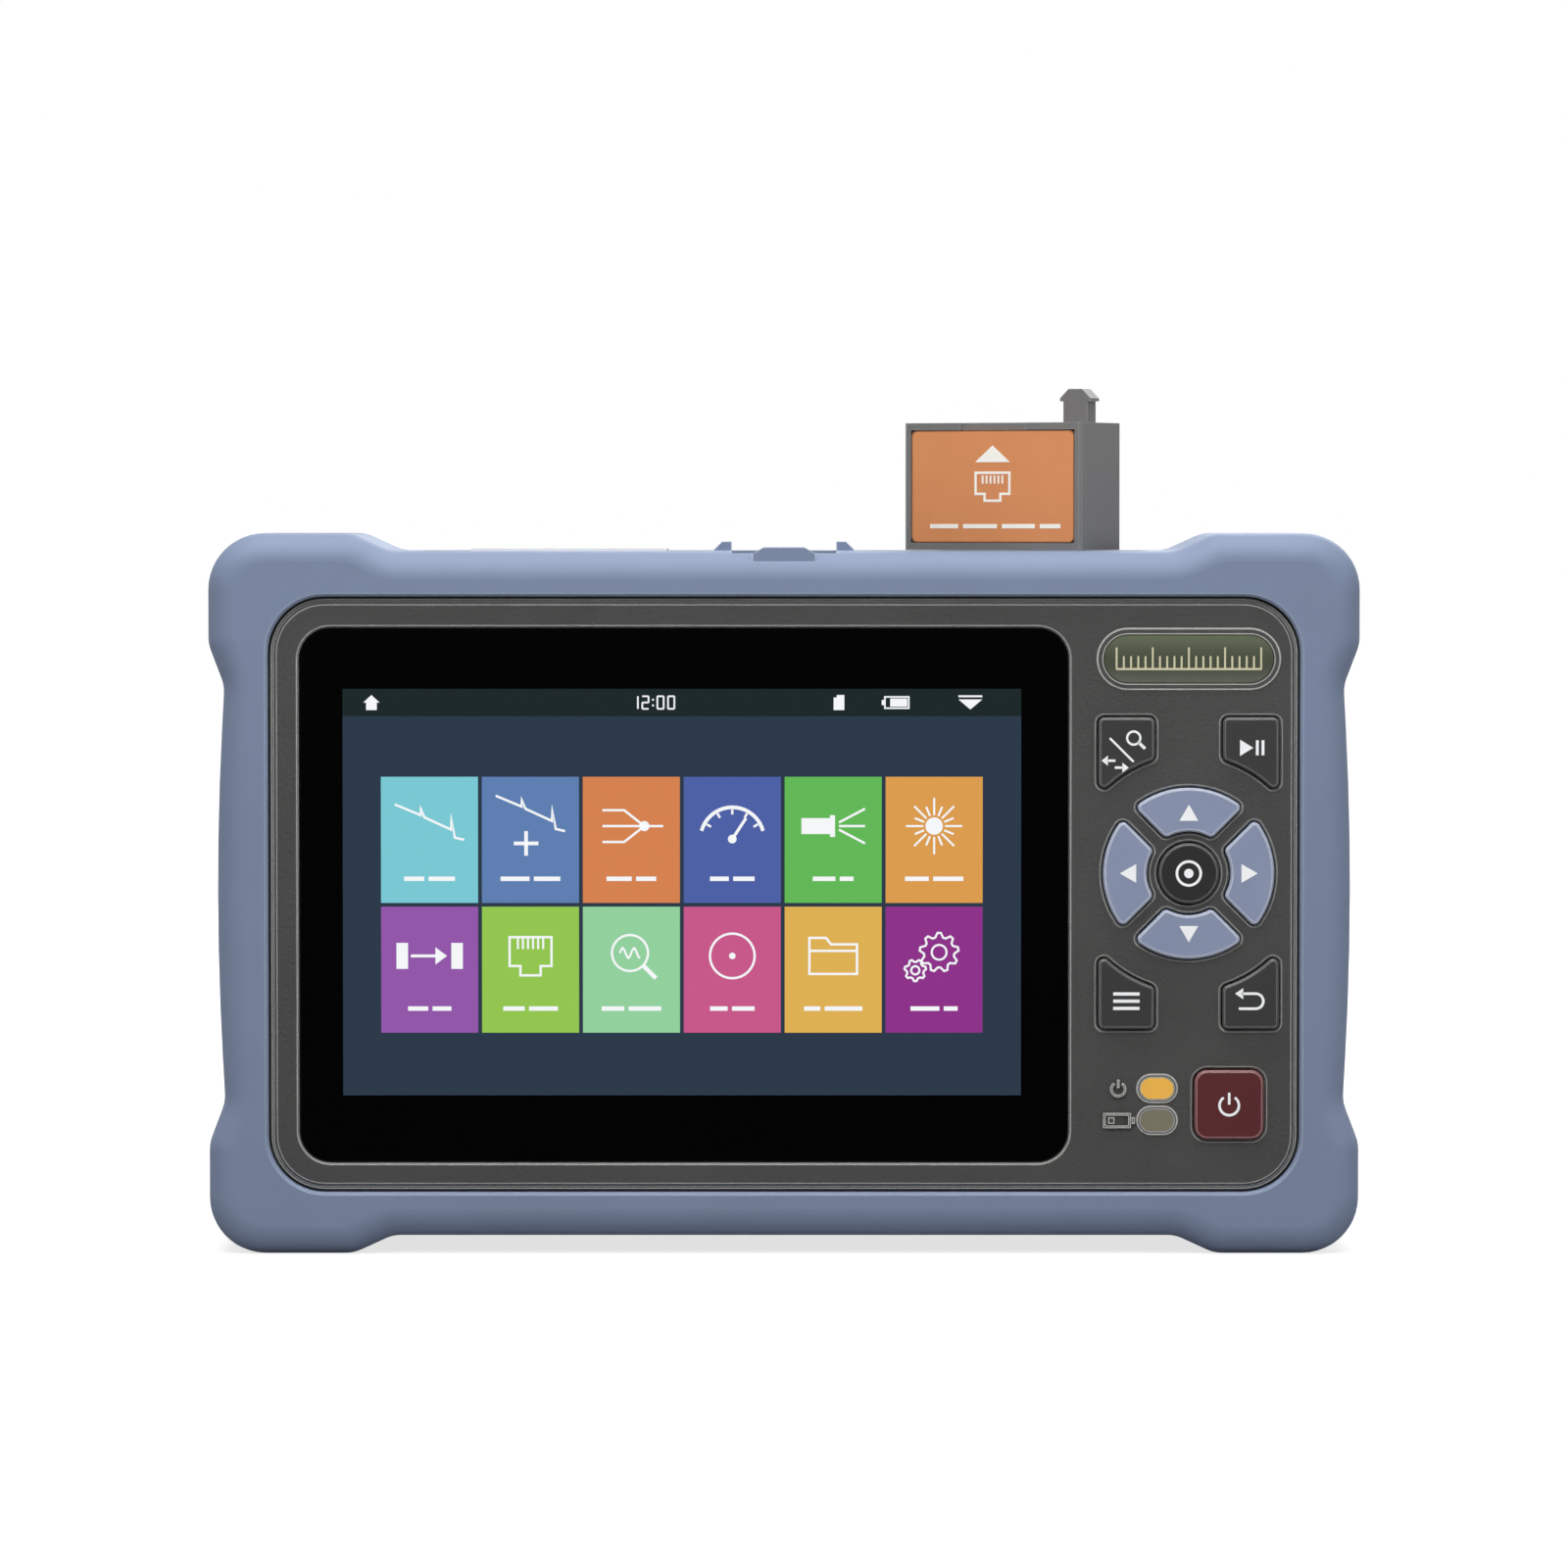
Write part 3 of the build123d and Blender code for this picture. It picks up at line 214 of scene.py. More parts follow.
def edges(tree, width):
    """1 on a piece's sharp edges, 0 on its faces: how far the normal, averaged over a width, leans away."""
    rounded = add(tree, "ShaderNodeBevel", {"Radius": width * MM}, samples=6).outputs[0]
    plain = add(tree, "ShaderNodeNewGeometry").outputs["Normal"]
    same = add(tree, "ShaderNodeVectorMath", {0: rounded, 1: plain}, operation="DOT_PRODUCT").outputs["Value"]
    return add(tree, "ShaderNodeMapRange", {"Value": same, "From Min": 0.99, "From Max": 0.94}).outputs[0]


def moulded(name, low, high, rough, grain_size, grain_depth, patch=14.0, edge=None, edge_width=0.22, **more):
    """A moulded plastic or rubber: a faint drift of colour, a fine grain and, where an edge tone is given,
    edges painted in it: a painted highlight when paler, a painted shadow line when darker.
    """
    material, tree = new_material(name)
    colour = drift(tree, patch, low, high)
    # The edge tone is painted on the sharp edges: paler tones give a painted highlight, darker ones a painted
    # shadow line.
    if edge is not None:
        painted_edge_tone = add(tree, "ShaderNodeMix", {"Factor": edges(tree, edge_width)}, data_type="RGBA")
        tree.links.new(colour, painted_edge_tone.inputs[6])
        painted_edge_tone.inputs[7].default_value = tone(edge)
        colour = painted_edge_tone.outputs[2]
    values = {"Base_Color": colour, "Roughness": rough, "Normal": grain(tree, grain_size, grain_depth)}
    values.update(more)
    principled(tree, **values)
    return material


def dress(material, *names):
    """Gives solids of the frame their finish."""
    for name in names:
        mesh = nodes[name].data
        mesh.materials.clear()
        mesh.materials.append(material)


# Solder mask is a thin, even, glossy lacquer. It is darker where no copper lies below it.
epoxy = moulded("green_solder_mask", "1b4229", "22502f", 0.3, 0.6, 0.01, 6.0)
dress(epoxy, "main_board", "key_board", "remote_board")

# Shrink film clings in shallow waves about 1.5 mm apart, and shines along them.
film = moulded("blue_shrink_film", "28456f", "305082", 0.3, 1.5, 0.02)
dress(film, "battery_pack")


def metal(name, low, high, rough, patch=3.0):
    """A worked metal with a faint change of tone and fine scratches."""
    material, tree = new_material(name)
    principled(tree, Base_Color=drift(tree, patch, low, high, 4.0), Metallic=1.0, Roughness=rough,
               Normal=grain(tree, 0.2, 0.004))
    return material


# Zinc plating: a pale grey with cloudy patches of a few millimetres and a soft gloss.
steel = metal("zinc_plated_steel", "a9a9a6", "c2c2bf", 0.32)
dress(steel, "case_screws", "battery_door_screws", "display_tray", "display_screws", "key_board_screws",
      "board_screws", "fibre_cover_pin", "lan_cover_pin", "side_cover_pin", "stand_pins", "usb_socket",
      "card_socket")

# Display.
# A five-inch colour panel is glued behind one sheet of strengthened glass, printed black
# round the picture. The picture is the tester's home page, with a generic icon on each tile.

# Strengthened glass under an anti-reflective coat, over a black print: near black, mirror smooth.
black_glass, tree = new_material("black_printed_glass")
principled(tree, Base_Color=drift(tree, 30.0, "040405", "060607"), Roughness=0.06, IOR=1.5,
           Specular_IOR_Level=0.3)
dress(black_glass, "touch_glass")

# The panel's front film is satin, so that what shows round the picture stays even.
panel_film, tree = new_material("panel_film")
principled(tree, Base_Color=drift(tree, 20.0, "2a3644", "2f3c4c"), Roughness=0.25)
dress(panel_film, "lcd_panel")

screen_border = 4.2 * MM
screen_low, screen_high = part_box("lcd_panel")
screen_w = (screen_high.x - screen_low.x) - 2 * screen_border
screen_h = (screen_high.z - screen_low.z) - 2 * screen_border
screen_middle = np.array([(screen_low.x + screen_high.x) / 2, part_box("touch_glass")[0].y,
                          (screen_low.z + screen_high.z) / 2])
ACROSS = np.array([1.0, 0.0, 0.0])
UP = np.array([0.0, 0.0, 1.0])


def band(points, width, closed=False):
    """Two edge lines of a stroke: the points moved half the width to either side, square to the line."""
    points = np.asarray(points, float)
    ahead = np.roll(points, -1, 0) - points
    behind = points - np.roll(points, 1, 0)
    if not closed:
        ahead[-1] = behind[-1]
        behind[0] = ahead[0]
    ahead /= np.linalg.norm(ahead, axis=1)[:, None]
    behind /= np.linalg.norm(behind, axis=1)[:, None]
    middle = ahead + behind
    middle /= np.linalg.norm(middle, axis=1)[:, None]
    side = np.stack([-middle[:, 1], middle[:, 0]], 1)
    straight = np.stack([-ahead[:, 1], ahead[:, 0]], 1)
    stretch = 1 / np.maximum((side * straight).sum(1), 0.35)
    shift = side * stretch[:, None] * width / 2
    return points + shift, points - shift, closed


def arc(x, y, radius, start, stop, count=24):
    """Points on a circle between two angles in degrees."""
    turn = np.radians(np.linspace(start, stop, count))
    return np.stack([x + radius * np.cos(turn), y + radius * np.sin(turn)], 1)


def ring(x, y, radius, width, count=32):
    """A closed circular stroke."""
    return band(arc(x, y, radius, 0, 360 * (count - 1) / count, count), width, True)


def disc(x, y, radius, count=17):
    """A filled circle, as the space between its upper and lower halves."""
    upper = arc(x, y, radius, 180, 0, count)
    lower = arc(x, y, radius, 180, 360, count)
    return upper, lower, False


def bar(x, y, width, height):
    """A filled rectangle about a middle."""
    left = np.array([[x - width / 2, y + height / 2], [x + width / 2, y + height / 2]])
    return left, left - [0, height], False


def wedge(tip, left, right):
    """A filled triangle, as the space between two lines that start at its tip."""
    return np.array([tip, left], float), np.array([tip, right], float), False


def printed(name, strips, inks, material, body, origin, across=ACROSS, up=UP, rise=0.03, sink=0.02):
    """Thin closed plates on a surface, in millimetres across and up from an origin in metres.

    Each strip is the space between two edge lines of as many points. Its four rows of points,
    both lines in front and both behind, are joined round the section, and at the ends unless closed.
    """
    outward = np.cross(across, up)
    corners = []
    faces = []
    shades = []
    first = 0
    for (left, right, closed), ink in zip(strips, inks):
        n = len(left)
        flat = np.concatenate([left, right, right, left])
        height = np.repeat([rise, rise, -sink, -sink], n)
        place = origin + MM * (flat[:, :1] * across + flat[:, 1:] * up + height[:, None] * outward)
        corners.append(place)
        step = np.arange(n if closed else n - 1)
        following = (step + 1) % n
        rows = [(0, 1), (1, 2), (2, 3), (3, 0)]
        for a, b in rows:
            quad = np.stack([a * n + step, a * n + following, b * n + following, b * n + step], 1)
            faces.append(first + quad)
        if not closed:
            ends = np.array([[0, n, 2 * n, 3 * n], [n - 1, 4 * n - 1, 3 * n - 1, 2 * n - 1]])
            faces.append(first + ends)
        shades.append(np.tile(tone(ink), (4 * n, 1)))
        first += 4 * n
    mesh = bpy.data.meshes.new(name)
    mesh.from_pydata(np.concatenate(corners).tolist(), [], np.concatenate(faces).tolist())
    layer = mesh.attributes.new("ink", "FLOAT_COLOR", "POINT")
    layer.data.foreach_set("color", np.concatenate(shades).astype(np.float32).ravel())
    shape = bmesh.new()
    shape.from_mesh(mesh)
    bmesh.ops.remove_doubles(shape, verts=shape.verts, dist=1e-7)
    bmesh.ops.dissolve_degenerate(shape, edges=shape.edges, dist=1e-7)
    bmesh.ops.recalc_face_normals(shape, faces=shape.faces)
    shape.to_mesh(mesh)
    shape.free()
    mesh.materials.append(material)
    piece = bpy.data.objects.new(name, mesh)
    bpy.context.scene.collection.objects.link(piece)
    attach(piece, body)
    return piece


# The picture gives its own light through glass. Its colours are written on its shapes.
lit_picture, tree = new_material("lit_display_picture")
ink = add(tree, "ShaderNodeAttribute", attribute_name="ink").outputs["Color"]
principled(tree, Base_Color=tone("020202"), Roughness=0.08, IOR=1.5, Emission_Color=ink,
           Emission_Strength=1.0)

white = "f4f6f8"
status_h = 4.36
tile_left = 6.08
tile_top = 14.0
tile_w = 15.45
tile_h = 20.1
tile_step_x = 16.07
tile_step_y = 20.7
half_w = screen_w / MM / 2
half_h = screen_h / MM / 2
tile_inks = [
    ["79c8d3", "5f7fb2", "d58250", "4e61a6", "62b857", "db9c4f"],
    ["9257a9", "93c651", "92d09e", "c7588a", "deb054", "8d338a"],
]
page = [bar(0, 0, 2 * half_w, 2 * half_h)]
printed("screen_ground", page, ["2d3a4a"], lit_picture, "body", screen_middle, rise=0.02)
strips = [bar(0, half_h - status_h / 2, 2 * half_w, status_h)]
shades = ["1e292b"]
for row, colours in enumerate(tile_inks):
    for column, colour in enumerate(colours):
        x = -half_w + tile_left + column * tile_step_x + tile_w / 2
        y = half_h - tile_top - row * tile_step_y - tile_h / 2
        strips.append(bar(x, y, tile_w, tile_h))
        shades.append(colour)
printed("screen_tiles", strips, shades, lit_picture, "body", screen_middle, rise=0.03)

thin = 0.32


def trace(x, y):
    """A falling line with two small echoes and an end peak."""
    points = [(-4.8, 3.0), (-1.2, 1.5), (-1.2, 2.5), (-0.7, 1.2), (3.0, -0.5), (3.0, 1.4), (3.5, -1.6),
              (4.8, -1.9)]
    return [band(np.array(points) + [x, y], thin)]


def tools(x, y):
    """The same line, with a plus for the settings that the user may change."""
    return trace(x, y + 1.2) + [bar(x - 0.6, y - 2.4, 3.4, 0.5), bar(x - 0.6, y - 2.4, 0.5, 3.4)]


# A middle line leans by a hair, so that no corner of it falls on one of the next stroke's. Their
# plates would merge there, with a face left inside.
lean = 0.001


def event_map(x, y):
    """Three lines that meet in one."""
    lines = [band([(x - 4.0, y + k * 2.2), (x - 1.0, y + k * 2.2), (x + 1.8, y)], thin) for k in (-1, lean, 1)]
    return lines + [band([(x + 1.8, y), (x + 4.4, y)], thin), disc(x + 1.8, y, 0.7)]


def dial(x, y):
    """A meter's scale and needle."""
    low = y - 1.8
    marks = [band([(x + r * math.cos(a), low + r * math.sin(a)) for r in (3.4, 4.1)], thin)
             for a in np.radians([30, 60, 90, 120, 150])]
    needle = band([(x, low), (x + 1.9, low + 2.9)], 0.4)
    return [band(arc(x, low, 4.4, 15, 165), 0.5), needle, disc(x, low, 0.6)] + marks


def torch(x, y):
    """A pointer and its three rays."""
    rays = [band([(x + 0.8, y + k * 0.5), (x + 4.4, y + k * 2.4)], thin) for k in (-1, lean, 1)]
    return [bar(x - 2.4, y, 4.0, 2.2), bar(x - 0.1, y, 0.7, 3.0)] + rays


def sun(x, y):
    """A bright spot with sixteen rays."""
    turns = np.linspace(0, 2 * math.pi, 16, endpoint=False)
    rays = [band([(x + 1.5 * math.cos(a), y + 1.5 * math.sin(a)),
                  (x + (3.9 - 1.0 * (k % 2)) * math.cos(a), y + (3.9 - 1.0 * (k % 2)) * math.sin(a))], 0.28)
            for k, a in enumerate(turns)]
    return rays + [disc(x, y, 1.2)]


def loss(x, y):
    """Two ends with a gap between them and an arrow across it."""
    return [bar(x - 3.8, y, 1.6, 3.6), bar(x + 3.8, y, 1.6, 3.6), band([(x - 2.6, y), (x + 1.2, y)], 0.4),
            wedge((x + 2.4, y), (x + 0.8, y + 1.2), (x + 0.8, y - 1.2))]


def socket_icon(x, y):
    """A modular socket seen from the front, with its contacts."""
    outline = [(-2.9, 2.6), (2.9, 2.6), (2.9, -1.4), (1.4, -1.4), (1.4, -2.7), (-1.4, -2.7), (-1.4, -1.4),
               (-2.9, -1.4)]
    pins = [bar(x - 1.75 + 0.7 * k, y + 1.7, 0.28, 1.5) for k in range(6)]
    return [band(np.array(outline) + [x, y], thin, True)] + pins


def magnifier(x, y):
    """A hand lens over a short wave."""
    wave = [(x - 1.6 + 0.2 * k, y + 0.4 + 0.7 * math.sin(k * 0.8)) for k in range(15)]
    handle = band([(x + 1.7, y - 1.4), (x + 3.4, y - 3.1)], 0.6)
    return [ring(x - 0.2, y + 0.4, 2.5, thin), handle, band(wave, 0.28)]


def end_face(x, y):
    """A fibre's end: cladding ring and core."""
    return [ring(x, y, 3.1, thin), disc(x, y, 0.45)]


def folder(x, y):
    """A folder with a raised tab."""
    outline = [(-3.3, -2.5), (-3.3, 2.5), (-1.0, 2.5), (-0.3, 1.6), (3.3, 1.6), (3.3, -2.5)]
    flap_line = band([(x - 3.2, y + 0.7), (x + 3.2, y + 0.7)], thin)
    return [band(np.array(outline) + [x, y], thin, True), flap_line]


def gear(x, y, radius, teeth):
    """A toothed wheel: a circle whose radius steps between root and tip."""
    turn = np.linspace(0, 2 * math.pi, 4 * teeth, endpoint=False) + math.pi / (4 * teeth)
    rim = np.where(np.arange(4 * teeth) % 4 < 2, radius, radius * 0.78)
    points = np.stack([x + rim * np.cos(turn), y + rim * np.sin(turn)], 1)
    return [band(points, 0.28, True), ring(x, y, radius * 0.38, 0.28)]


def gears(x, y):
    """A large and a small toothed wheel."""
    return gear(x + 0.7, y + 0.5, 2.7, 9) + gear(x - 2.6, y - 2.0, 1.5, 7)


icons = [[trace, tools, event_map, dial, torch, sun], [loss, socket_icon, magnifier, end_face, folder, gears]]
caption_words = [[(3.2, 4.2), (4.6, 4.2), (4.0, 3.2), (3.0, 3.4), (3.6, 2.2), (3.8, 4.8)],
                 [(3.2, 3.0), (3.4, 4.6), (3.6, 5.2), (2.8, 3.6), (2.6, 6.0), (4.6, 2.2)]]
icon_lift = 2.2
icon_size = 1.15
caption_drop = 6.2
caption_h = 0.7
strips = []
for row in range(2):
    for column in range(6):
        x = -half_w + tile_left + column * tile_step_x + tile_w / 2
        y = half_h - tile_top - row * tile_step_y - tile_h / 2
        middle = np.array([x, y + icon_lift])
        for left, right, closed in icons[row][column](*middle):
            larger = [middle + icon_size * (edge - middle) for edge in (left, right)]
            strips.append((*larger, closed))
        first, second = caption_words[row][column]
        gap = 0.7
        start = x - (first + gap + second) / 2
        strips.append(bar(start + first / 2, y - caption_drop, first, caption_h))
        strips.append(bar(start + first + gap + second / 2, y - caption_drop, second, caption_h))

# The clock's digits are made of up to seven strokes, each named by a letter.
seven = {"0": "abcdef", "1": "bc", "2": "abged"}
lines = {"a": ((0, 2), (1, 2)), "b": ((1, 2), (1, 1)), "c": ((1, 1), (1, 0)), "d": ((0, 0), (1, 0)),
         "e": ((0, 0), (0, 1)), "f": ((0, 1), (0, 2)), "g": ((0, 1), (1, 1))}
bar_y = half_h - status_h / 2
clock_x = -8.0
for place, digit in zip((0.0, 1.7, 4.1, 5.8), "1200"):
    for stroke in seven[digit]:
        ends = [(clock_x + place + px, bar_y - 1.0 + py) for px, py in lines[stroke]]
        strips.append(band(ends, 0.26))
strips += [disc(clock_x + 3.4, bar_y + dy, 0.17, 7) for dy in (-0.45, 0.45)]
home_x = -half_w + 4.6
strips += [
    wedge((home_x, bar_y + 1.2), (home_x - 1.3, bar_y), (home_x + 1.3, bar_y)),
    bar(home_x, bar_y - 0.6, 1.7, 1.2),
]
card_x = half_w - 29.0
strips += [bar(card_x, bar_y - 0.2, 1.7, 2.0), bar(card_x + 0.25, bar_y + 0.95, 1.2, 0.5)]
cell_x = half_w - 19.8
cell_outline = np.array([(-1.9, -0.9), (1.9, -0.9), (1.9, 0.9), (-1.9, 0.9)]) + [cell_x, bar_y]
strips += [
    band(cell_outline, 0.25, True),
    bar(cell_x + 0.3, bar_y, 2.7, 1.3),
    bar(cell_x - 2.2, bar_y, 0.4, 0.8),
]
menu_x = half_w - 8.1
strips += [
    wedge((menu_x, bar_y - 1.1), (menu_x - 1.9, bar_y + 0.5), (menu_x + 1.9, bar_y + 0.5)),
    bar(menu_x, bar_y + 1.0, 3.8, 0.3),
]
all_white = [white] * len(strips)
printed("screen_icons", strips, all_white, lit_picture, "body", screen_middle, rise=0.045)

# Keypad.
# Keys of dyed silicone rubber with a hard cap come through the housing from behind. The four
# arrow keys share the boot's blue, the power key is dark red. Symbols are printed on the caps.

# Lacquered silicone is satin. Its moulded edges get a painted highlight, a pale line where they would catch
# the light.
dark_key = moulded("dark_silicone_key", "343434", "3a3a3a", 0.42, 0.3, 0.006, edge="8e8e8c",
                   edge_width=0.35)
dress(dark_key, "key_zoom", "key_play", "key_set", "key_esc")
centre_key = moulded("darker_silicone_key", "252524", "2a2a29", 0.42, 0.3, 0.006, edge="8e8e8c",
                     edge_width=0.35)
dress(centre_key, "key_ok")
blue_key = moulded("blue_silicone_key", "818ba7", "8a95b1", 0.45, 0.3, 0.006, edge="e2e6ee",
                   edge_width=0.4)
dress(blue_key, "key_up", "key_down", "key_left", "key_right")
red_key = moulded("dark_red_silicone_key", "551f23", "5e2428", 0.42, 0.3, 0.006, edge="c39a9a",
                  edge_width=0.35)
dress(red_key, "key_power")

# Pad print is an opaque ink a few hundredths of a millimetre thick, with a faint tooth.
key_ink, tree = new_material("white_pad_print")
ink = add(tree, "ShaderNodeAttribute", attribute_name="ink").outputs["Color"]
principled(tree, Base_Color=ink, Roughness=0.45, Normal=grain(tree, 0.25, 0.004))


def key_face(name):
    """Middle of a key's front face, in metres."""
    low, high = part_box(name)
    return np.array([(low.x + high.x) / 2, low.y, (low.z + high.z) / 2])


def on_key(name, strips):
    """Symbol printed on a key, moving with it."""
    piece = printed(name + "_symbol", strips, [white] * len(strips), key_ink, name, key_face(name), rise=0.05)


on_key("key_zoom", [
    ring(1.1, 2.6, 1.05, 0.36, 20),
    band([(1.9, 1.9), (2.9, 0.9)], 0.5),
    band([(-2.7, 2.6), (1.1, -1.2)], 0.34),
    band([(-3.1, -1.0), (-1.8, -1.0)], 0.4),
    wedge((-4.0, -1.0), (-3.0, -0.2), (-3.0, -1.8)),
    band([(-1.9, -2.1), (-0.6, -2.1)], 0.4),
    wedge((0.3, -2.1), (-0.7, -1.3), (-0.7, -2.9)),
])
play_rise = 1.05
on_key("key_play", [
    wedge((0.3, play_rise), (-1.8, play_rise + 1.3), (-1.8, play_rise - 1.3)),
    bar(0.95, play_rise, 0.45, 2.4),
    bar(1.85, play_rise, 0.45, 2.4),
])
on_key("key_ok", [ring(0, 0, 1.9, 0.42), disc(0, 0, 0.75)])
sign_drop = -1.4
on_key("key_set", [bar(0, sign_drop + k * 1.15, 4.2, 0.52) for k in (-1, 0, 1)])
hook = np.concatenate([[(-1.4, 1.2), (0.8, 1.2)], arc(0.8, 0.0, 1.2, 90, -90, 12)[1:], [(-1.9, -1.2)]])
on_key("key_esc", [
    band(hook + [0, sign_drop], 0.42),
    wedge((-2.5, sign_drop + 1.2), (-1.2, sign_drop + 2.1), (-1.2, sign_drop + 0.3)),
])
arrow = {"key_up": (0, 1), "key_down": (0, -1), "key_left": (-1, 0), "key_right": (1, 0)}
for name, (dx, dy) in arrow.items():
    tip = (1.5 * dx, 1.5 * dy)
    left = (-1.1 * dx - 1.5 * dy, -1.1 * dy + 1.5 * dx)
    right = (-1.1 * dx + 1.5 * dy, -1.1 * dy - 1.5 * dx)
    on_key(name, [wedge(tip, left, right)])
on_key("key_power", [band(arc(0, -0.1, 1.55, 125, 415), 0.4), bar(0, 1.0, 0.4, 1.9)])

# Housing, battery door and folding stand.
# Injection-moulded ABS and polycarbonate blend in dark warm grey, with a spark-eroded
# texture that breaks the light into fine points. Screws close it from behind.

# Spark erosion leaves pits of about 0.1 mm. They are drawn 0.55 mm wide, so that they show. The edges get a
# painted highlight, pale where light would catch them.
housing = moulded("spark_eroded_abs", "424241", "4c4c4b", 0.4, 0.55, 0.09, edge="d4d4d0", edge_width=0.35)
dress(housing, "front_case", "rear_case", "battery_door", "kickstand", "lan_cover")

# Silicone rubber is dull, with a faint dusty bloom.
silicone, tree = new_material("silicone_seal")
principled(tree, Base_Color=drift(tree, 6.0, "262628", "303033"), Roughness=0.6)
dress(silicone, "case_gasket", "key_mat")

# Lamps and name plate.
# Two light pipes of tinted acrylic end flush in the housing beside their raised signs. The
# name plate is a domed acrylic label in a satin rim, bare but for a plain scale.


def lens(name, colour, pale, glow):
    """Tinted acrylic light pipe: glossy, with a painted highlight that makes its rim pale, and glowing where
    its lamp is on.
    """
    material, tree = new_material(name)
    # Painted highlight: the colour goes towards the pale tone on the lens's edges.
    rim = add(tree, "ShaderNodeMix", {"Factor": edges(tree, 0.2)}, data_type="RGBA")
    rim.inputs[6].default_value = tone(colour)
    rim.inputs[7].default_value = tone(pale)
    principled(tree, Base_Color=rim.outputs[2], Roughness=0.18, Emission_Color=tone(colour),
               Emission_Strength=glow)
    return material


dress(lens("amber_acrylic_lit", "d9a548", "f0cf8a", 0.25), "led_on_lens")
dress(lens("smoked_acrylic", "7d7a67", "989684", 0.0), "led_charge_lens")
dress(lens("clear_resin", "e8e0c8", "f4efe0", 0.0), "led_on_lamp", "led_charge_lamp")


def beside(name, gap):
    """A point on the housing to the left of a lamp, in metres."""
    low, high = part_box(name)
    return np.array([low.x - gap * MM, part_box("front_case")[0].y, (low.z + high.z) / 2])


sign = [band(arc(0, -0.1, 1.1, 125, 415, 16), 0.4), bar(0, 0.75, 0.4, 1.3)]
sign_gap = 3.6
sign_h = 0.25
on_sign = printed("on_sign", sign, ["505052"] * len(sign), housing, "body", beside("led_on_lens", sign_gap),
                  rise=sign_h)
cell = [band([(-2.2, -1.0), (1.8, -1.0), (1.8, 1.0), (-2.2, 1.0)], 0.4, True), bar(2.4, 0, 0.5, 1.0),
        bar(-1.1, 0, 1.0, 1.0)]
charge_sign = printed("charge_sign", cell, ["505052"] * len(cell), housing, "body",
                      beside("led_charge_lens", sign_gap), rise=sign_h)

# A clear domed coat over an olive print. Its colour is painted by height: painted shade darkens a band just
# below the middle, and a painted highlight makes the top and bottom paler.
badge_low, badge_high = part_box("badge_plate")
badge, tree = new_material("domed_acrylic_badge")
badge_place = add(tree, "ShaderNodeTexCoord").outputs["Object"]
height = add(tree, "ShaderNodeSeparateXYZ", {"Vector": badge_place}).outputs["Z"]
rise = add(tree, "ShaderNodeMapRange", {"Value": height, "From Min": badge_low.z, "From Max": badge_high.z})
painted_dome_shading = add(tree, "ShaderNodeValToRGB", {"Fac": rise.outputs[0]})
painted_dome_shading.color_ramp.interpolation = "B_SPLINE"
painted_dome_shading.color_ramp.elements[0].color = tone("6a6e60")
painted_dome_shading.color_ramp.elements[1].color = tone("707862")
painted_dome_shading.color_ramp.elements.new(0.45).color = tone("31352b")
principled(tree, Base_Color=painted_dome_shading.outputs[0], Roughness=0.25, Normal=grain(tree, 0.4, 0.003), Coat_Weight=0.5,
           Coat_Roughness=0.1)
dress(badge, "badge_plate")
badge_middle = np.array([(badge_low.x + badge_high.x) / 2, badge_low.y, (badge_low.z + badge_high.z) / 2])
ticks = [bar(0, -1.6, 23.2, 0.34)]
for k in range(21):
    tall = 3.3 if k % 5 == 0 else 1.9
    ticks.append(bar(1.15 * (k - 10), -1.45 + tall / 2, 0.3, tall))
badge_scale = printed("badge_scale", ticks, ["cdc8a8"] * len(ticks), key_ink, "body", badge_middle, rise=0.05)

# Sockets and their covers.
# Nickel-plated brass adapters stand on a die-cast plate under a soft pale cover. The network
# jack is black moulded nylon, and the side sockets have a black rubber cover.

# Nickel plating on turned brass: a warm, pale metal with a bright gloss.
nickel = metal("nickel_plated_brass", "b9b7ae", "cfcdc4", 0.22)
dress(nickel, "otdr_adapter", "meter_adapter", "pointer_adapter")
# Die-cast aluminium, bead blasted: pale grey and evenly dull.
cast = metal("bead_blasted_aluminium", "9fa1a4", "b2b4b6", 0.45)
dress(cast, "port_plate", "optical_engine")
# Black nylon from a matt mould takes a dull, even shine.
nylon = moulded("black_nylon", "1d1d1f", "262628", 0.45, 0.4, 0.01)
dress(nylon, "lan_jack", "remote_bay", "remote_jack", "buzzer")
# A soft elastomer, pale and dull as it leaves the mould.
pale = moulded("pale_soft_tpe", "a6aab1", "b0b4ba", 0.6, 0.5, 0.01)
dress(pale, "fibre_cover")
# The same kind of elastomer in black, with a faint bloom.
flap = moulded("black_soft_tpe", "2b2c2f", "333437", 0.62, 0.5, 0.01)
dress(flap, "side_cover")
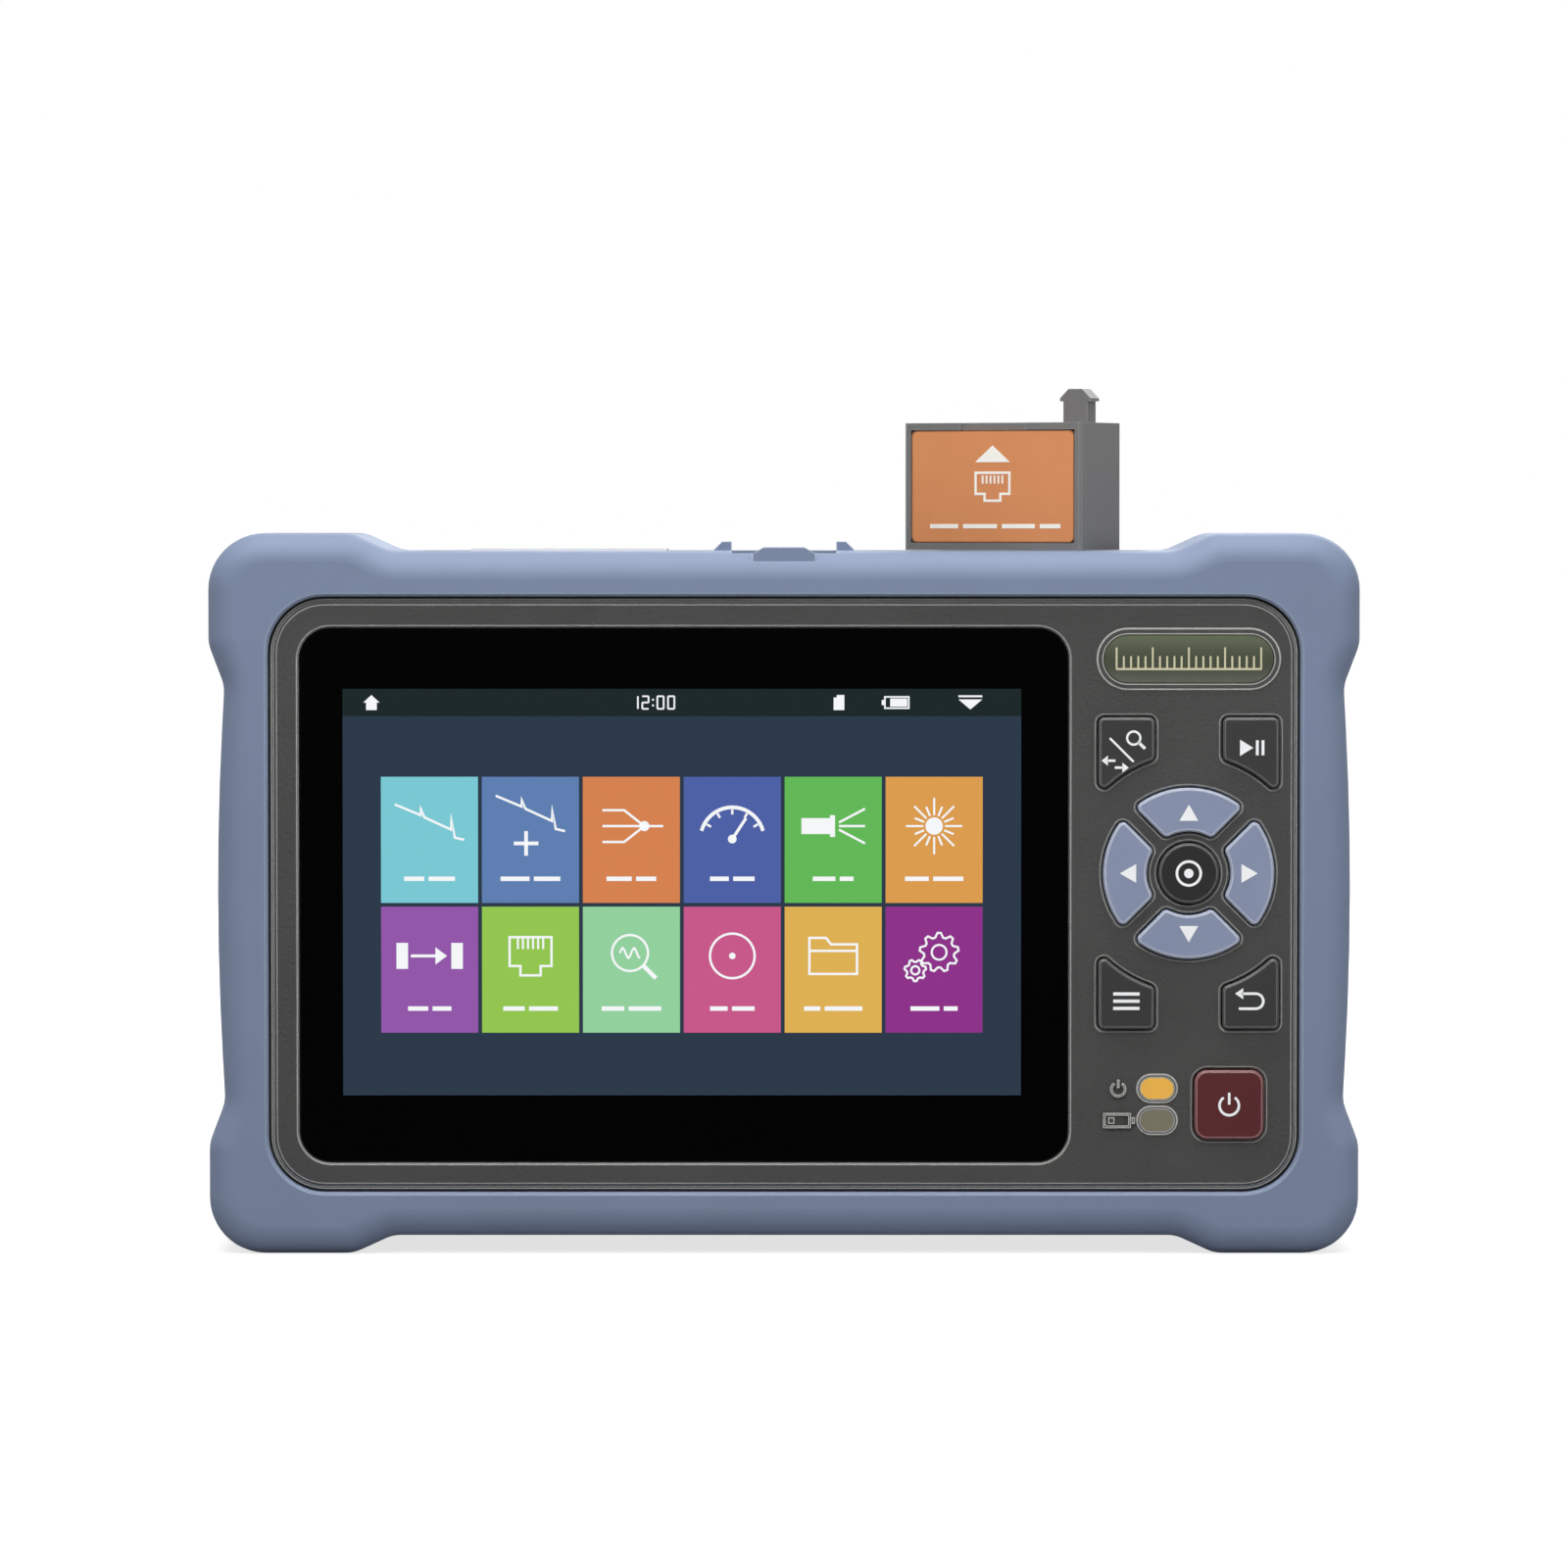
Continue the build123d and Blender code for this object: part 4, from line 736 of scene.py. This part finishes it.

# Boot.
# Two halves of soft moulded thermoplastic rubber, stretched over the housing's edges
# from front and back and meeting at the corners. The mould's surface is fine and matt.

# Thermoplastic rubber from a blasted mould: matt blue grey, with a painted highlight that makes it paler along
# its thin lips and edges.
rubber = moulded("matt_tpe_rubber", "727f98", "7785a0", 0.58, 0.5, 0.012, edge="a6b1c6", edge_width=0.35,
                 Specular_IOR_Level=0.4)
dress(rubber, "front_bumper", "rear_bumper")

# Far-end unit.
# A small textured ABS box with a spring latch post on top and a printed orange label let into
# its front. It stands askew on the boot's rails, across the bay that it comes out of.

# Textured ABS in a lighter and warmer grey than the housing's, with a painted highlight along its edges.
unit_case = moulded("grey_textured_abs", "686767", "72706f", 0.5, 0.35, 0.03, edge="989694")
dress(unit_case, "remote_shell", "remote_base")
# Printed polycarbonate film: an even orange with a satin face, and a dark painted shadow line along its edges,
# where it is let into the shell.
label = moulded("orange_printed_label", "ce8450", "d58b57", 0.4, 0.5, 0.004, 5.0, edge="2e221e",
                edge_width=0.5)
dress(label, "remote_label")
label_low, label_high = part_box("remote_label")
label_turn = math.radians(-26.5)
label_across = np.array([math.cos(label_turn), math.sin(label_turn), 0.0])
label_thick = 0.5 * MM
label_out = np.cross(label_across, UP)
label_middle = (np.array(label_low) + np.array(label_high)) / 2 + label_out * label_thick / 2
arrow_up = wedge((0, 6.6), (-3.1, 3.9), (3.1, 3.9))
jack_line = [(-3.0, 2.2), (3.0, 2.2), (3.0, -1.2), (1.4, -1.2), (1.4, -2.3), (-1.4, -2.3), (-1.4, -1.2),
             (-3.0, -1.2)]
pins = [bar(-1.75 + 0.7 * k, 1.1, 0.3, 1.3) for k in range(6)]
unit_strips = [arrow_up, band(jack_line, 0.4, True)] + pins
unit_strips += [bar(x, -6.4, w, 0.7) for x, w in ((-8.6, 5.0), (-2.2, 6.0), (4.6, 5.8), (10.2, 3.6))]
label_print = printed("label_print", unit_strips, ["f3efe6"] * len(unit_strips), key_ink, "remote",
                      label_middle, label_across, UP, rise=0.04)

# The plain view of colours.
bpy.context.scene.view_settings.view_transform = "Standard"
